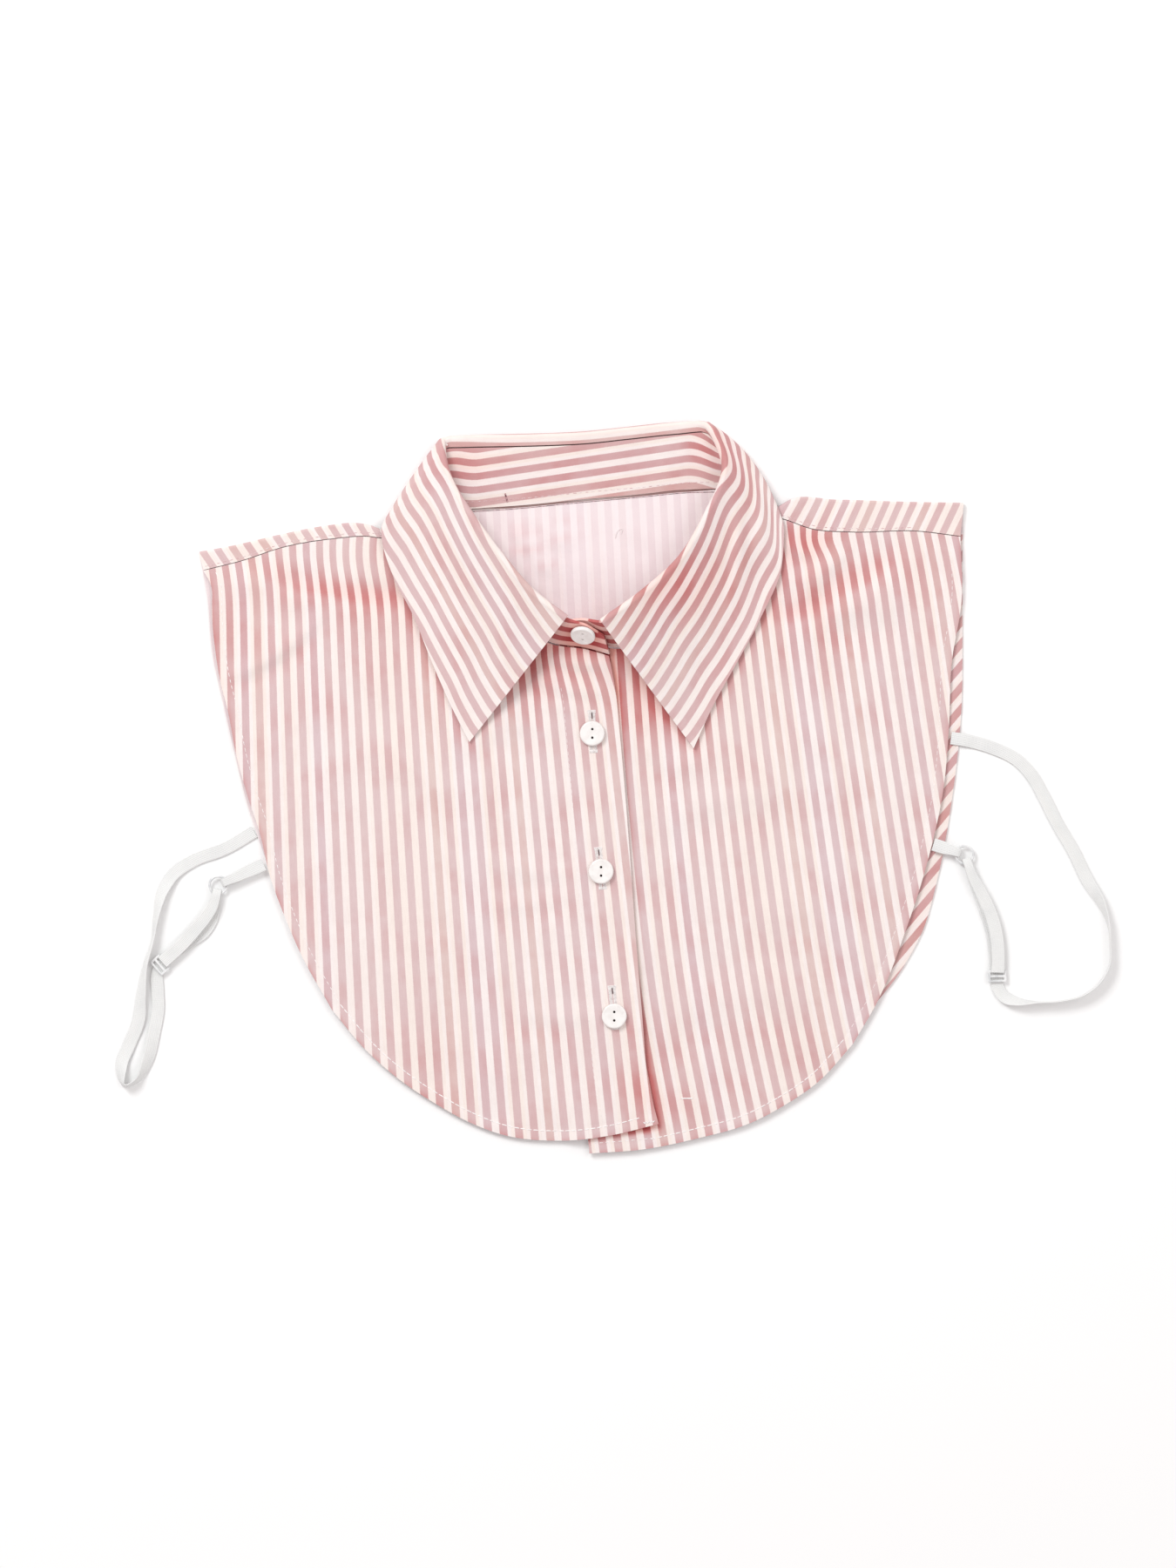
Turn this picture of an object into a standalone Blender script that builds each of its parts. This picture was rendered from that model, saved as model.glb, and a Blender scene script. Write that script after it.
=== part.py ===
"""Detachable striped shirt collar, laid flat with its front up.

A short bib of shirt cloth carries a stand and a fall. Two buttoned fronts lie on the back panel, which
turns over at the shoulders. The collar stands up at the front and lies flat at the back. A narrow
elastic, a ring and a slider at each side hold the fronts to the back.

Lengths in the tables are millimetres: X to the right, Y towards the collar, Z up from the surface.
"""
import math

import bmesh
import bpy
import numpy as np
from mathutils import Matrix, Vector

MM = 0.001
GAP = 0.3
CURVE_STEPS = 24

PANEL_CLOTH = 1.0
PLACKET_CLOTH = 1.4
STAND_CLOTH = 1.4
FALL_CLOTH = 1.2
PLACKET_WIDTH = 25.0
PLACKET_BLEND = 4.0

LAYER_STEP = 1.6
COLLAR_LIFT = 1.5
COLLAR_LIFT_X = (98.0, 120.0)
COLLAR_LIFT_Y = (84.0, 107.0)
OVERLAP_LIFT = 2.3
OVERLAP_START = -14.0
OVERLAP_END = -4.0
NECK_RISE = 2.6
NECK_RISE_REACH = 13.0
SEAM_GAP = 1.3
SHOULDER_SEAM_GAP = 0.4
SHORTEST_TURN = 0.8
SHOULDER_TURN_ANGLES = (45, 90, 135, 180)

CLEAR_OF_OVERLAP = (2.0, 20.0)

RIDGE_FADE = 0.32
FLAT_DROP = (2.0, 4.0)

ROLL_RADIUS = 1.3
ROLL_ANGLES = (0, 60, 120, 180)
LEAF_SHARES = (0.12, 0.26, 0.42, 0.60, 0.80, 1.0)
STAND_SHARES = (0.0, 0.25, 0.5, 0.75, 1.0)

FRONT_CELLS = 21
SHOULDER_CELLS = 10
BACK_ROWS = 16
BACK_SHOULDER_CELLS = 9
BACK_NECK_CELLS = 10

BUTTON_DIAMETER = 11.8
BUTTON_THICKNESS = 2.2
BUTTON_HOLE = 1.6
BUTTON_HOLE_PITCH = 4.0
BUTTON_SIDES = 22
BUTTON_HOLE_SIDES = 9
BUTTON_OFF_STAND = 0.6

ELASTIC_THICKNESS = 1.0
ELASTIC_CELL = 3.8
STEEP_TURN = 0.2
FLOOR_CLEARANCE = 0.15
RING_OUTER = 9.4
RING_WIRE = 1.2
SLIDER_LENGTH = 5.6
SLIDER_WIDTH = 8.6
SLIDER_THICKNESS = 1.2
SLIDER_SLOT = (6.4, 1.2)
SLIDER_SLOT_PITCH = 2.4
DRILL_DEPTH = 6.0
DRILL_TURN = 0.2
RING_HEIGHT = 2.4
SLIDER_HEIGHT = 2.0

# Finishes: kind of piece, colour and roughness.
FINISHES = {
    "cloth": ((0.86, 0.68, 0.68, 1.0), 0.8),
    "button": ((0.93, 0.92, 0.91, 1.0), 0.3),
    "elastic": ((0.93, 0.93, 0.92, 1.0), 0.85),
    "plastic": ((0.90, 0.90, 0.90, 1.0), 0.35),
}

# Half of a button's outline. Columns: how far in from the rim; height.
BUTTON_OUTLINE = (
    (5.9, 0.0), (0.9, 0.0), (0.0, 0.7), (0.0, 1.7), (0.5, 2.2), (1.3, 2.2), (2.2, 1.6), (5.9, 1.6),
)

# Sections of the collar, from the left leaf's front edge round the back to the right leaf's front edge.
# Columns: cells to the next row; roll x, y, z; neck seam x, y, z; outer edge x, y, z;
# how fast the fall drops from the roll; how far the stand's top edge lies below the roll;
# how far the section bows forward.
COLLAR_SECTIONS = (
    (2, -6.2, 80.4, 22.5, -13.9, 68.1, 6.8, -52.9, 20.9, 4.4, 1.6, 2.2, 0.0),
    (2, -22.6, 93.1, 22.5, -29.9, 80.4, 6.4, -62.3, 39.8, 4.4, 1.6, 2.2, 0.0),
    (2, -37.3, 110.3, 21.0, -48.0, 99.2, 6.3, -70.9, 59.5, 4.6, 1.6, 2.4, 0.0),
    (2, -50.4, 128.3, 18.0, -61.9, 113.2, 6.3, -79.1, 80.0, 5.0, 1.7, 3.0, 0.0),
    (2, -61.1, 146.8, 13.5, -71.3, 123.0, 6.2, -89.0, 99.6, 5.6, 1.8, 4.0, 0.0),
    (2, -63.8, 158.1, 10.5, -75.0, 126.7, 5.6, -94.1, 118.5, 6.3, 2.0, 5.0, -1.0),
    (2, -64.0, 162.8, 8.0, -76.3, 128.3, 4.1, -92.8, 123.9, 4.2, 2.4, 5.5, -1.0),
    (2, -60.5, 164.6, 6.5, -73.8, 129.2, 2.6, -89.5, 124.6, 0.6, 4.0, 5.5, -1.0),
    (2, -50.4, 165.2, 6.5, -51.3, 130.8, 2.4, -68.9, 117.7, 0.6, 7.0, 5.5, 0.0),
    (2, -27.9, 165.6, 6.8, -27.9, 132.4, 2.4, -40.2, 115.2, 0.6, 7.0, 5.5, 0.0),
    (2, -2.5, 166.5, 7.0, -2.5, 134.9, 2.4, -3.3, 114.4, 0.6, 7.0, 5.5, 0.0),
    (2, 21.3, 168.9, 7.0, 25.4, 137.4, 2.4, 33.6, 116.0, 0.6, 7.0, 5.5, 0.0),
    (2, 41.8, 171.0, 6.8, 50.0, 139.8, 2.4, 66.4, 119.3, 0.6, 7.0, 5.5, 0.0),
    (2, 53.0, 171.6, 6.5, 71.8, 140.2, 2.6, 84.8, 133.9, 0.6, 4.0, 5.5, 4.0),
    (2, 57.0, 170.4, 8.0, 75.9, 139.0, 4.1, 87.9, 133.9, 4.4, 2.4, 5.5, 4.6),
    (2, 60.6, 165.4, 10.5, 76.7, 134.5, 5.6, 94.9, 119.5, 6.5, 2.0, 5.0, 4.0),
    (3, 65.4, 150.9, 13.5, 75.9, 124.2, 6.2, 93.9, 103.7, 5.6, 1.8, 4.0, 1.5),
    (3, 57.0, 128.7, 18.0, 68.9, 111.1, 6.3, 84.1, 79.5, 5.0, 1.7, 3.0, 0.0),
    (3, 45.1, 108.7, 20.5, 55.4, 93.1, 6.0, 73.0, 58.6, 4.6, 1.6, 2.4, 0.0),
    (3, 27.5, 92.3, 22.0, 35.7, 74.6, 5.4, 61.9, 38.5, 4.4, 1.6, 2.2, 0.0),
    (0, 8.2, 78.7, 22.5, 16.4, 66.0, 5.0, 52.5, 18.0, 4.4, 1.6, 2.2, 0.0),
)

# The stand runs past the leaves to its buttoned ends. Columns: cells to the next row; roll x, y, z;
# neck seam x, y, z; how far the stand's top edge lies below the roll.
STAND_TOP_END = (
    (2, 9.0, 75.2, 20.0, 13.1, 62.6, 7.0, 6.0),
    (2, 0.8, 77.8, 22.0, 0.8, 66.0, 6.9, 2.2),
)
STAND_UNDER_END = (
    (2, 0.8, 80.2, 20.5, 0.6, 69.6, 4.9, 2.6),
    (0, -8.0, 81.4, 19.0, -11.0, 70.4, 4.9, 6.0),
)

# Outlines in plan, as X and Y.
LEFT_SHOULDER_SEAM = ((-178.0, 101.5), (-160.0, 106.0), (-140.0, 112.5), (-116.5, 116.4), (-100.0, 117.4),
                      (-94.0, 116.6), (-87.0, 117.0), (-76.4, 121.2))
LEFT_SIDE = ((-117.5, -105.0), (-132.0, -79.0), (-140.0, -60.5), (-147.0, -41.0), (-151.0, -23.5),
             (-157.5, -3.5), (-162.0, 12.5), (-166.5, 35.5), (-170.0, 49.5), (-172.5, 65.0),
             (-174.0, 81.5), (-174.5, 95.0), (-178.0, 101.5))
LEFT_HEM = ((-117.5, -105.0), (-101.5, -124.0), (-85.5, -138.0), (-69.0, -149.0), (-52.5, -158.0),
            (-36.0, -164.0), (-12.0, -166.5), (13.0, -164.0), (36.0, -158.5))
OVERLAP_EDGE = ((36.0, -158.5), (32.0, -142.5), (28.0, -103.5), (25.0, -66.5), (22.5, -31.5),
                (19.6, 5.3), (17.3, 30.0), (15.9, 44.3), (14.2, 54.0), (12.8, 61.3))
RIGHT_SHOULDER_SEAM = ((78.2, 128.6), (95.0, 125.4), (108.0, 121.0), (127.5, 119.5), (157.0, 120.0),
                       (178.0, 117.5))
RIGHT_SIDE = ((127.5, -121.0), (139.0, -101.0), (152.5, -67.0), (163.0, -33.5), (170.0, -1.0),
              (172.5, 26.5), (174.0, 59.0), (178.5, 87.0), (178.0, 117.5))
RIGHT_HEM = ((3.5, -172.5), (29.5, -170.5), (54.0, -165.5), (78.5, -158.5), (95.0, -150.0),
             (111.5, -138.5), (127.5, -121.0))
UNDER_EDGE = ((3.5, -172.5), (-3.5, -89.0), (-8.0, 1.0), (-12.4, 68.6))
BACK_LEFT_SIDE = ((-113.0, -103.5), (-132.5, -73.5), (-146.0, -41.0), (-157.0, -9.0), (-166.5, 30.0),
                  (-174.0, 65.0), (-176.5, 92.5), (-180.0, 110.5))
BACK_HEM = ((-113.0, -103.5), (-93.5, -126.0), (-69.0, -144.0), (-36.0, -159.0), (-3.5, -162.0),
            (29.5, -163.5), (62.5, -159.0), (95.0, -144.5), (119.5, -125.0), (131.0, -110.5))
BACK_RIGHT_SIDE = ((131.0, -110.5), (149.0, -88.0), (159.5, -69.5), (167.5, -42.0), (174.0, -6.0),
                   (178.5, 36.5), (179.0, 75.0), (179.0, 108.0), (179.5, 133.5))
LEFT_SHOULDER_FOLD = ((-180.0, 110.5), (-166.0, 113.0), (-140.0, 119.0), (-119.5, 122.9),
                      (-106.0, 124.0), (-99.0, 122.8), (-93.0, 120.6), (-86.0, 121.4), (-79.5, 125.6))
BACK_NECK = ((-79.5, 125.6), (-73.8, 128.1), (-51.3, 129.7), (-27.9, 131.3), (-2.5, 133.8),
             (25.4, 136.3), (50.0, 138.6), (71.8, 139.0), (79.5, 136.6))
RIGHT_SHOULDER_FOLD = ((79.5, 136.6), (84.0, 132.2), (88.8, 129.6), (93.0, 132.0), (98.0, 135.0),
                       (119.5, 135.0), (152.0, 134.0), (179.5, 133.5))

# Soft ridges in the fronts. Columns: start x, y; end x, y; height; half width.
LEFT_RIDGES = (
    (-172.0, 92.0, -128.0, 104.0, 1.3, 6.0),
    (-150.0, 88.0, -106.0, 92.0, 1.6, 7.0),
    (-166.0, 52.0, -128.0, 80.0, 1.1, 7.0),
    (-120.0, 30.0, -40.0, -12.0, 0.8, 11.0),
    (-96.0, -60.0, -36.0, -96.0, 0.8, 12.0),
)
RIGHT_RIDGES = (
    (98.0, 84.0, 122.0, 108.0, 1.9, 6.0),
    (110.0, 78.0, 146.0, 100.0, 1.3, 7.0),
    (112.0, 40.0, 70.0, -20.0, 0.8, 12.0),
    (60.0, -70.0, 128.0, -50.0, 0.8, 12.0),
)
LEAF_RIDGES = (
    (70.0, 132.0, 78.0, 94.0, 1.6, 4.0),
    (80.0, 126.0, 84.0, 100.0, 1.2, 3.5),
    (58.0, 104.0, 30.0, 74.0, 1.0, 5.0),
)

# Buttons on the fronts: name, X, Y. The neck button sits on the stand.
FRONT_BUTTONS = (
    ("button_top", 4.9, 25.0),
    ("button_middle", 9.0, -39.8),
    ("button_low", 15.2, -107.8),
)
NECK_BUTTON_SHARE = 0.56

# Elastic routes, to the ring and back from it. Columns: X, Y, Z of the middle; lean of the flat side in
# degrees; width.
LEFT_STRAP_OUT = (
    (-154.2, -21.2, 0.6, 0, 6.0), (-167.7, -29.1, 0.6, 0, 6.0), (-182.9, -34.9, 0.6, 0, 6.0),
    (-191.5, -40.6, 0.6, 8, 6.0), (-197.2, -49.2, 1.2, 30, 6.0), (-200.1, -60.7, 2.6, 62, 6.0),
    (-201.8, -72.2, 3.3, 76, 6.0), (-205.4, -84.6, 2.9, 68, 6.0), (-207.4, -98.8, 1.6, 36, 6.0),
    (-208.6, -110.3, 0.8, 10, 6.0), (-213.2, -122.0, 0.7, 4, 6.0), (-216.6, -131.0, 1.4, 20, 6.0),
    (-214.6, -140.6, 3.4, 80, 6.0), (-209.4, -138.4, 3.3, 70, 6.0), (-204.6, -129.6, 1.8, 36, 6.0),
    (-201.2, -115.2, 0.9, 10, 6.0), (-199.4, -104.5, 0.6, 0, 6.0), (-199.6, -96.0, 0.6, 0, 6.0),
    (-199.8, -88.4, 0.6, 0, 6.0), (-197.2, -82.6, 0.6, 0, 6.0), (-192.0, -78.2, 0.6, 0, 6.0),
    (-185.4, -73.6, 0.6, 0, 6.0), (-177.6, -68.0, 0.6, 0, 6.0), (-173.4, -60.6, 0.6, 0, 5.6),
    (-172.2, -54.4, 0.6, 0, 4.6),
)
LEFT_STRAP_BACK = (
    (-173.0, -55.0, 4.1, 0, 4.8), (-176.6, -60.8, 3.8, 0, 5.8), (-181.6, -67.0, 3.6, 0, 6.0),
    (-188.6, -74.8, 3.4, 0, 6.0), (-197.2, -82.6, 3.4, 0, 6.0),
)
RIGHT_STRAP_OUT = (
    (173.6, 22.8, 1.9, 0, 6.0), (180.6, 21.8, 1.4, 0, 6.0), (186.0, 20.5, 0.6, 0, 6.0),
    (194.8, 17.6, 0.6, 0, 6.0), (204.6, 12.6, 0.6, 0, 6.0), (211.6, 5.3, 0.6, 0, 6.0),
    (217.0, -4.1, 0.6, 0, 6.0), (223.6, -17.2, 0.6, 0, 6.0), (231.2, -30.2, 0.6, 0, 6.0),
    (238.2, -44.7, 0.9, 10, 6.0), (244.0, -54.5, 2.4, 50, 6.0), (247.6, -64.4, 3.4, 82, 6.0),
    (248.5, -74.2, 3.5, 90, 6.0), (248.1, -84.0, 3.5, 90, 6.0), (244.0, -91.8, 3.5, 90, 6.0),
    (236.2, -98.0, 3.5, 90, 6.0), (225.5, -100.9, 3.5, 90, 6.0), (213.6, -101.4, 3.5, 84, 6.0),
    (204.6, -101.0, 2.8, 50, 6.0), (198.8, -98.8, 1.0, 10, 6.0), (195.8, -94.4, 0.6, 0, 6.0),
    (195.2, -88.0, 0.6, 0, 6.0), (194.6, -80.0, 0.6, 0, 6.0), (193.4, -70.0, 0.6, 0, 6.0),
    (189.2, -56.2, 0.6, 0, 6.0), (184.4, -44.4, 0.6, 0, 5.0),
)
RIGHT_STRAP_BACK = (
    (184.0, -42.8, 4.1, 0, 4.8), (187.6, -49.6, 3.9, 0, 5.6), (191.6, -58.0, 3.6, 0, 6.0),
    (195.0, -70.0, 3.4, 0, 6.0), (195.8, -80.0, 3.4, 0, 6.0), (195.6, -87.4, 3.4, 0, 6.0),
)
LEFT_TAB_OUT = ((-149.6, -36.6, 3.6, 0, 6.0), (-155.0, -39.0, 3.5, 0, 6.0), (-161.6, -42.0, 3.9, 0, 5.0))
LEFT_TAB_BACK = ((-161.8, -42.1, 0.6, 0, 5.2),)
RIGHT_TAB_OUT = ((165.2, -27.2, 3.6, 0, 6.0), (169.6, -28.6, 3.5, 0, 6.0), (173.2, -29.8, 3.9, 0, 4.8))
RIGHT_TAB_BACK = ((172.6, -29.6, 0.6, 0, 5.0),)

# How an elastic turns through a ring: distance from the ring's middle, and height.
RING_TURN = ((3.8, 0.65), (2.5, 1.1), (2.0, 2.4), (2.5, 3.7), (3.8, 4.2))
WIDTH_IN_RING = 4.0

# Rings: X, Y. Sliders: name, X, Y, turn in degrees about Z.
LEFT_RING = (-171.0, -46.3)
RIGHT_RING = (180.0, -32.0)
SLIDERS = (("slider_left", -198.4, -84.0, -50), ("slider_right", 195.4, -89.2, 2))

# Elastics: name, way out, ring, heading into the ring in degrees, below the ring first, way back.
ELASTICS = (
    ("strap_left", LEFT_STRAP_OUT, LEFT_RING, 80, True, LEFT_STRAP_BACK),
    ("strap_right", RIGHT_STRAP_OUT, RIGHT_RING, 110, True, RIGHT_STRAP_BACK),
    ("tab_left", LEFT_TAB_OUT, LEFT_RING, 205, False, LEFT_TAB_BACK),
    ("tab_right", RIGHT_TAB_OUT, RIGHT_RING, -18, False, RIGHT_TAB_BACK),
)


def clear_scene():
    """Start from an empty scene."""
    for thing in list(bpy.data.objects):
        bpy.data.objects.remove(thing, do_unlink=True)


def finish(kind, name):
    """A plain material of one kind for a named piece."""
    shade, roughness = FINISHES[kind]
    material = bpy.data.materials.new(kind + "_" + name)
    material.use_nodes = True
    shader = material.node_tree.nodes["Principled BSDF"]
    shader.inputs["Base Color"].default_value = shade
    shader.inputs["Roughness"].default_value = roughness
    shader.inputs["Metallic"].default_value = 0.0
    return material


def ramp(value, start, end):
    """A soft step from 0 at start to 1 at end."""
    share = np.clip((np.asarray(value, float) - start) / (end - start), 0.0, 1.0)
    return share * share * (3.0 - 2.0 * share)


def curve_through(rows, cells, measured=3, level=False):
    """A smooth curve through the rows, with so many cells in each span. A level one never overshoots."""
    rows = np.asarray(rows, float)
    spans = np.linalg.norm(np.diff(rows[:, :measured], axis=0), axis=1)
    slopes = np.diff(rows, axis=0) / spans[:, None]
    tangents = np.empty_like(rows)
    tangents[0] = slopes[0]
    tangents[-1] = slopes[-1]
    before = spans[:-1, None]
    after = spans[1:, None]
    tangents[1:-1] = (slopes[:-1] * after + slopes[1:] * before) / (before + after)
    if level:
        steady = slopes[:-1] * slopes[1:] > 0
        spread = np.where(steady, before * slopes[1:] + after * slopes[:-1], 1.0)
        mean = slopes[:-1] * slopes[1:] * (before + after) / spread
        tangents[1:-1] = np.where(steady, mean, 0.0)
    points = [rows[0]]
    for start, span in enumerate(spans):
        for step in range(1, cells[start] + 1):
            t = step / cells[start]
            points.append(rows[start] * (2 * t**3 - 3 * t**2 + 1)
                          + tangents[start] * span * (t**3 - 2 * t**2 + t)
                          + rows[start + 1] * (3 * t**2 - 2 * t**3)
                          + tangents[start + 1] * span * (t**3 - t**2))
    return np.array(points)


def evenly(rows, count, measured=2):
    """Points at even distances along the smooth curve through the rows."""
    fine = curve_through(rows, [CURVE_STEPS] * (len(rows) - 1), measured)
    steps = np.linalg.norm(np.diff(fine[:, :measured], axis=0), axis=1)
    along = np.concatenate([[0.0], np.cumsum(steps)])
    wanted = np.linspace(0.0, along[-1], count)
    return np.column_stack([np.interp(wanted, along, fine[:, k]) for k in range(fine.shape[1])])


def patch(bottom, top, left, right):
    """A grid of plan points between four outlines, with i across and j upwards."""
    columns, rows = len(bottom), len(left)
    u = np.linspace(0.0, 1.0, columns)[:, None, None]
    v = np.linspace(0.0, 1.0, rows)[None, :, None]
    across = bottom[:, None, :] * (1 - v) + top[:, None, :] * v
    upwards = left[None, :, :] * (1 - u) + right[None, :, :] * u
    corners = (bottom[0] * (1 - u) * (1 - v) + bottom[-1] * u * (1 - v)
               + top[0] * (1 - u) * v + top[-1] * u * v)
    return across + upwards - corners


def ridges(table, x, y):
    """Height of the soft ridges at plan points."""
    height = np.zeros_like(x)
    for x0, y0, x1, y1, tall, wide in table:
        length = math.hypot(x1 - x0, y1 - y0)
        along = ((x - x0) * (x1 - x0) + (y - y0) * (y1 - y0)) / length
        aside = ((x - x0) * (y1 - y0) - (y - y0) * (x1 - x0)) / length
        fade = np.exp(-np.square((along / length - 0.5) / RIDGE_FADE))
        height = height + tall * fade * np.exp(-np.square(aside / wide))
    return height


def distance_to(line, x, y):
    """Distance in plan from points to a broken line."""
    nearest = np.full(np.shape(x), 1e9)
    for (x0, y0), (x1, y1) in zip(line[:-1], line[1:]):
        dx, dy = x1 - x0, y1 - y0
        share = np.clip(((x - x0) * dx + (y - y0) * dy) / (dx * dx + dy * dy), 0.0, 1.0)
        nearest = np.minimum(nearest, np.hypot(x - x0 - share * dx, y - y0 - share * dy))
    return nearest


def back_height(x, y):
    """Middle of the back panel's wall: flat, and lifted over the fall's hidden part."""
    low, high = COLLAR_LIFT_Y
    near, far = COLLAR_LIFT_X
    under_collar = ramp(y, low, high) * (1 - ramp(abs(x), near, far))
    return PANEL_CLOTH / 2 + COLLAR_LIFT * under_collar


def collar_rows():
    """The collar's sections as arrays: rolls, seams, edges, drops and insets."""
    table = np.array([row[1:] for row in COLLAR_SECTIONS])
    cells = [row[0] for row in COLLAR_SECTIONS[:-1]]
    return curve_through(table, cells, measured=9, level=True)


def stand_rows():
    """The stand's sections, with its buttoned ends: rolls, seams and insets."""
    middle = [row[:7] + (row[11],) for row in COLLAR_SECTIONS]
    middle[-1] = (2,) + middle[-1][1:]
    table = list(STAND_TOP_END) + middle + list(STAND_UNDER_END)
    cells = [row[0] for row in table[:-1]]
    return curve_through(np.array([row[1:] for row in table]), cells, measured=6, level=True)


def neck_line(rows, start, end):
    """The neck seam in plan, moved out by the seam gap, for the panels' edges."""
    seam = rows[start:end, 3:5]
    way = np.gradient(seam, axis=0)
    way = way / np.linalg.norm(way, axis=1)[:, None]
    outward = np.column_stack([-way[:, 1], way[:, 0]])
    return seam + outward * SEAM_GAP


def front_height(x, y, seam, table):
    """Middle of a front panel's wall: on the back panel, rising to the neck seam."""
    rise = NECK_RISE * np.exp(-np.square(distance_to(seam, x, y) / NECK_RISE_REACH))
    return back_height(x, y) + LAYER_STEP + rise + ridges(table, x, y)


def wall_normals(grid):
    """Unit normals of a grid of points."""
    du = np.gradient(grid, axis=0)
    dv = np.gradient(grid, axis=1)
    normal = np.cross(du, dv)
    return normal / np.linalg.norm(normal, axis=2)[:, :, None]


def cloth_wall(name, grid, thickness, keep=None):
    """A closed cloth wall about a grid of middle points. Cells outside keep are left out."""
    columns, rows = grid.shape[:2]
    half = np.broadcast_to(np.asarray(thickness, float), (columns, rows))[:, :, None] / 2
    normal = wall_normals(grid)
    faces_of = [grid + normal * half, grid - normal * half]
    cells = [(i, j) for i in range(columns - 1) for j in range(rows - 1) if keep is None or keep[i][j]]
    mesh = bmesh.new()
    corners = {}

    def corner(side, i, j):
        if (side, i, j) not in corners:
            corners[side, i, j] = mesh.verts.new(Vector(faces_of[side][i, j]) * MM)
        return corners[side, i, j]

    edges = {}
    for i, j in cells:
        loop = [(i, j), (i + 1, j), (i + 1, j + 1), (i, j + 1)]
        mesh.faces.new([corner(0, *place) for place in loop])
        mesh.faces.new([corner(1, *place) for place in reversed(loop)])
        for first, second in zip(loop, loop[1:] + loop[:1]):
            if (second, first) in edges:
                del edges[second, first]
            else:
                edges[first, second] = True
    for first, second in edges:
        mesh.faces.new([corner(0, *second), corner(0, *first), corner(1, *first), corner(1, *second)])
    return mesh_object(name, mesh, "cloth")


def mesh_object(name, mesh, kind):
    """Write a bmesh to a named object with its own material, smooth but for sharp rims."""
    data = bpy.data.meshes.new(name)
    mesh.to_mesh(data)
    mesh.free()
    data.shade_smooth()
    data.set_sharp_from_angle(angle=math.radians(40))
    data.materials.append(finish(kind, name))
    thing = bpy.data.objects.new(name, data)
    bpy.context.scene.collection.objects.link(thing)
    return thing


def make_collar():
    """The stand, and the fall that rolls over it and lies on the fronts and under the back."""
    stand = stand_rows()
    roll, seam, inset = stand[:, 0:3], stand[:, 3:6], stand[:, 6:7]
    up = (roll - seam) / np.linalg.norm(roll - seam, axis=1)[:, None]
    top = roll - up * (FALL_CLOTH / 2 + inset)
    grid = np.stack([seam + (top - seam) * share for share in STAND_SHARES], axis=1)
    cloth_wall("collar_stand", grid, STAND_CLOTH)

    rows = collar_rows()
    roll, seam, edge = rows[:, 0:3], rows[:, 3:6], rows[:, 6:9]
    drop, inset, bow = rows[:, 9:10], rows[:, 10:11], rows[:, 11:12]
    up = (roll - seam) / np.linalg.norm(roll - seam, axis=1)[:, None]
    along = np.gradient(roll + seam, axis=0)
    out = np.cross(up, along)
    out = out / np.linalg.norm(out, axis=1)[:, None]
    apex = roll - up * FALL_CLOTH / 2
    sections = [apex - up * (inset - 2 * GAP)]
    centre = apex - up * ROLL_RADIUS + out * ROLL_RADIUS
    for angle in ROLL_ANGLES:
        turn = math.radians(angle)
        sections.append(centre - out * ROLL_RADIUS * math.cos(turn) + up * ROLL_RADIUS * math.sin(turn))
    start = sections[-1]
    across = (edge - start)[:, :2]
    across = np.column_stack([-across[:, 1], across[:, 0]]) / np.linalg.norm(across, axis=1)[:, None]
    on_top = 1.0 - np.clip((drop[:, 0] - FLAT_DROP[0]) / (FLAT_DROP[1] - FLAT_DROP[0]), 0.0, 1.0)
    for share in LEAF_SHARES:
        point = start + (edge - start) * share
        point[:, :2] += across * bow * 4 * share * (1 - share)
        fall = (1 - share) ** drop[:, 0]
        point[:, 2] = edge[:, 2] + (start[:, 2] - edge[:, 2]) * fall
        point[:, 2] += on_top * math.sin(math.pi * share) * ridges(LEAF_RIDGES, point[:, 0], point[:, 1])
        sections.append(point)
    cloth_wall("collar_fall", np.stack(sections, axis=1), FALL_CLOTH)
    return stand


def seam_parts(stand):
    """The neck seam in plan along each front, from the shoulder to the centre front."""
    start = STAND_TOP_END[0][0] + STAND_TOP_END[1][0]
    per_row = [row[0] for row in COLLAR_SECTIONS]
    left_last = start + sum(per_row[:4])
    right_first = start + sum(per_row[:16])
    left = neck_line(stand, 0, left_last + 1)[::-1]
    right = neck_line(stand, right_first, len(stand))
    return left, right


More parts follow.
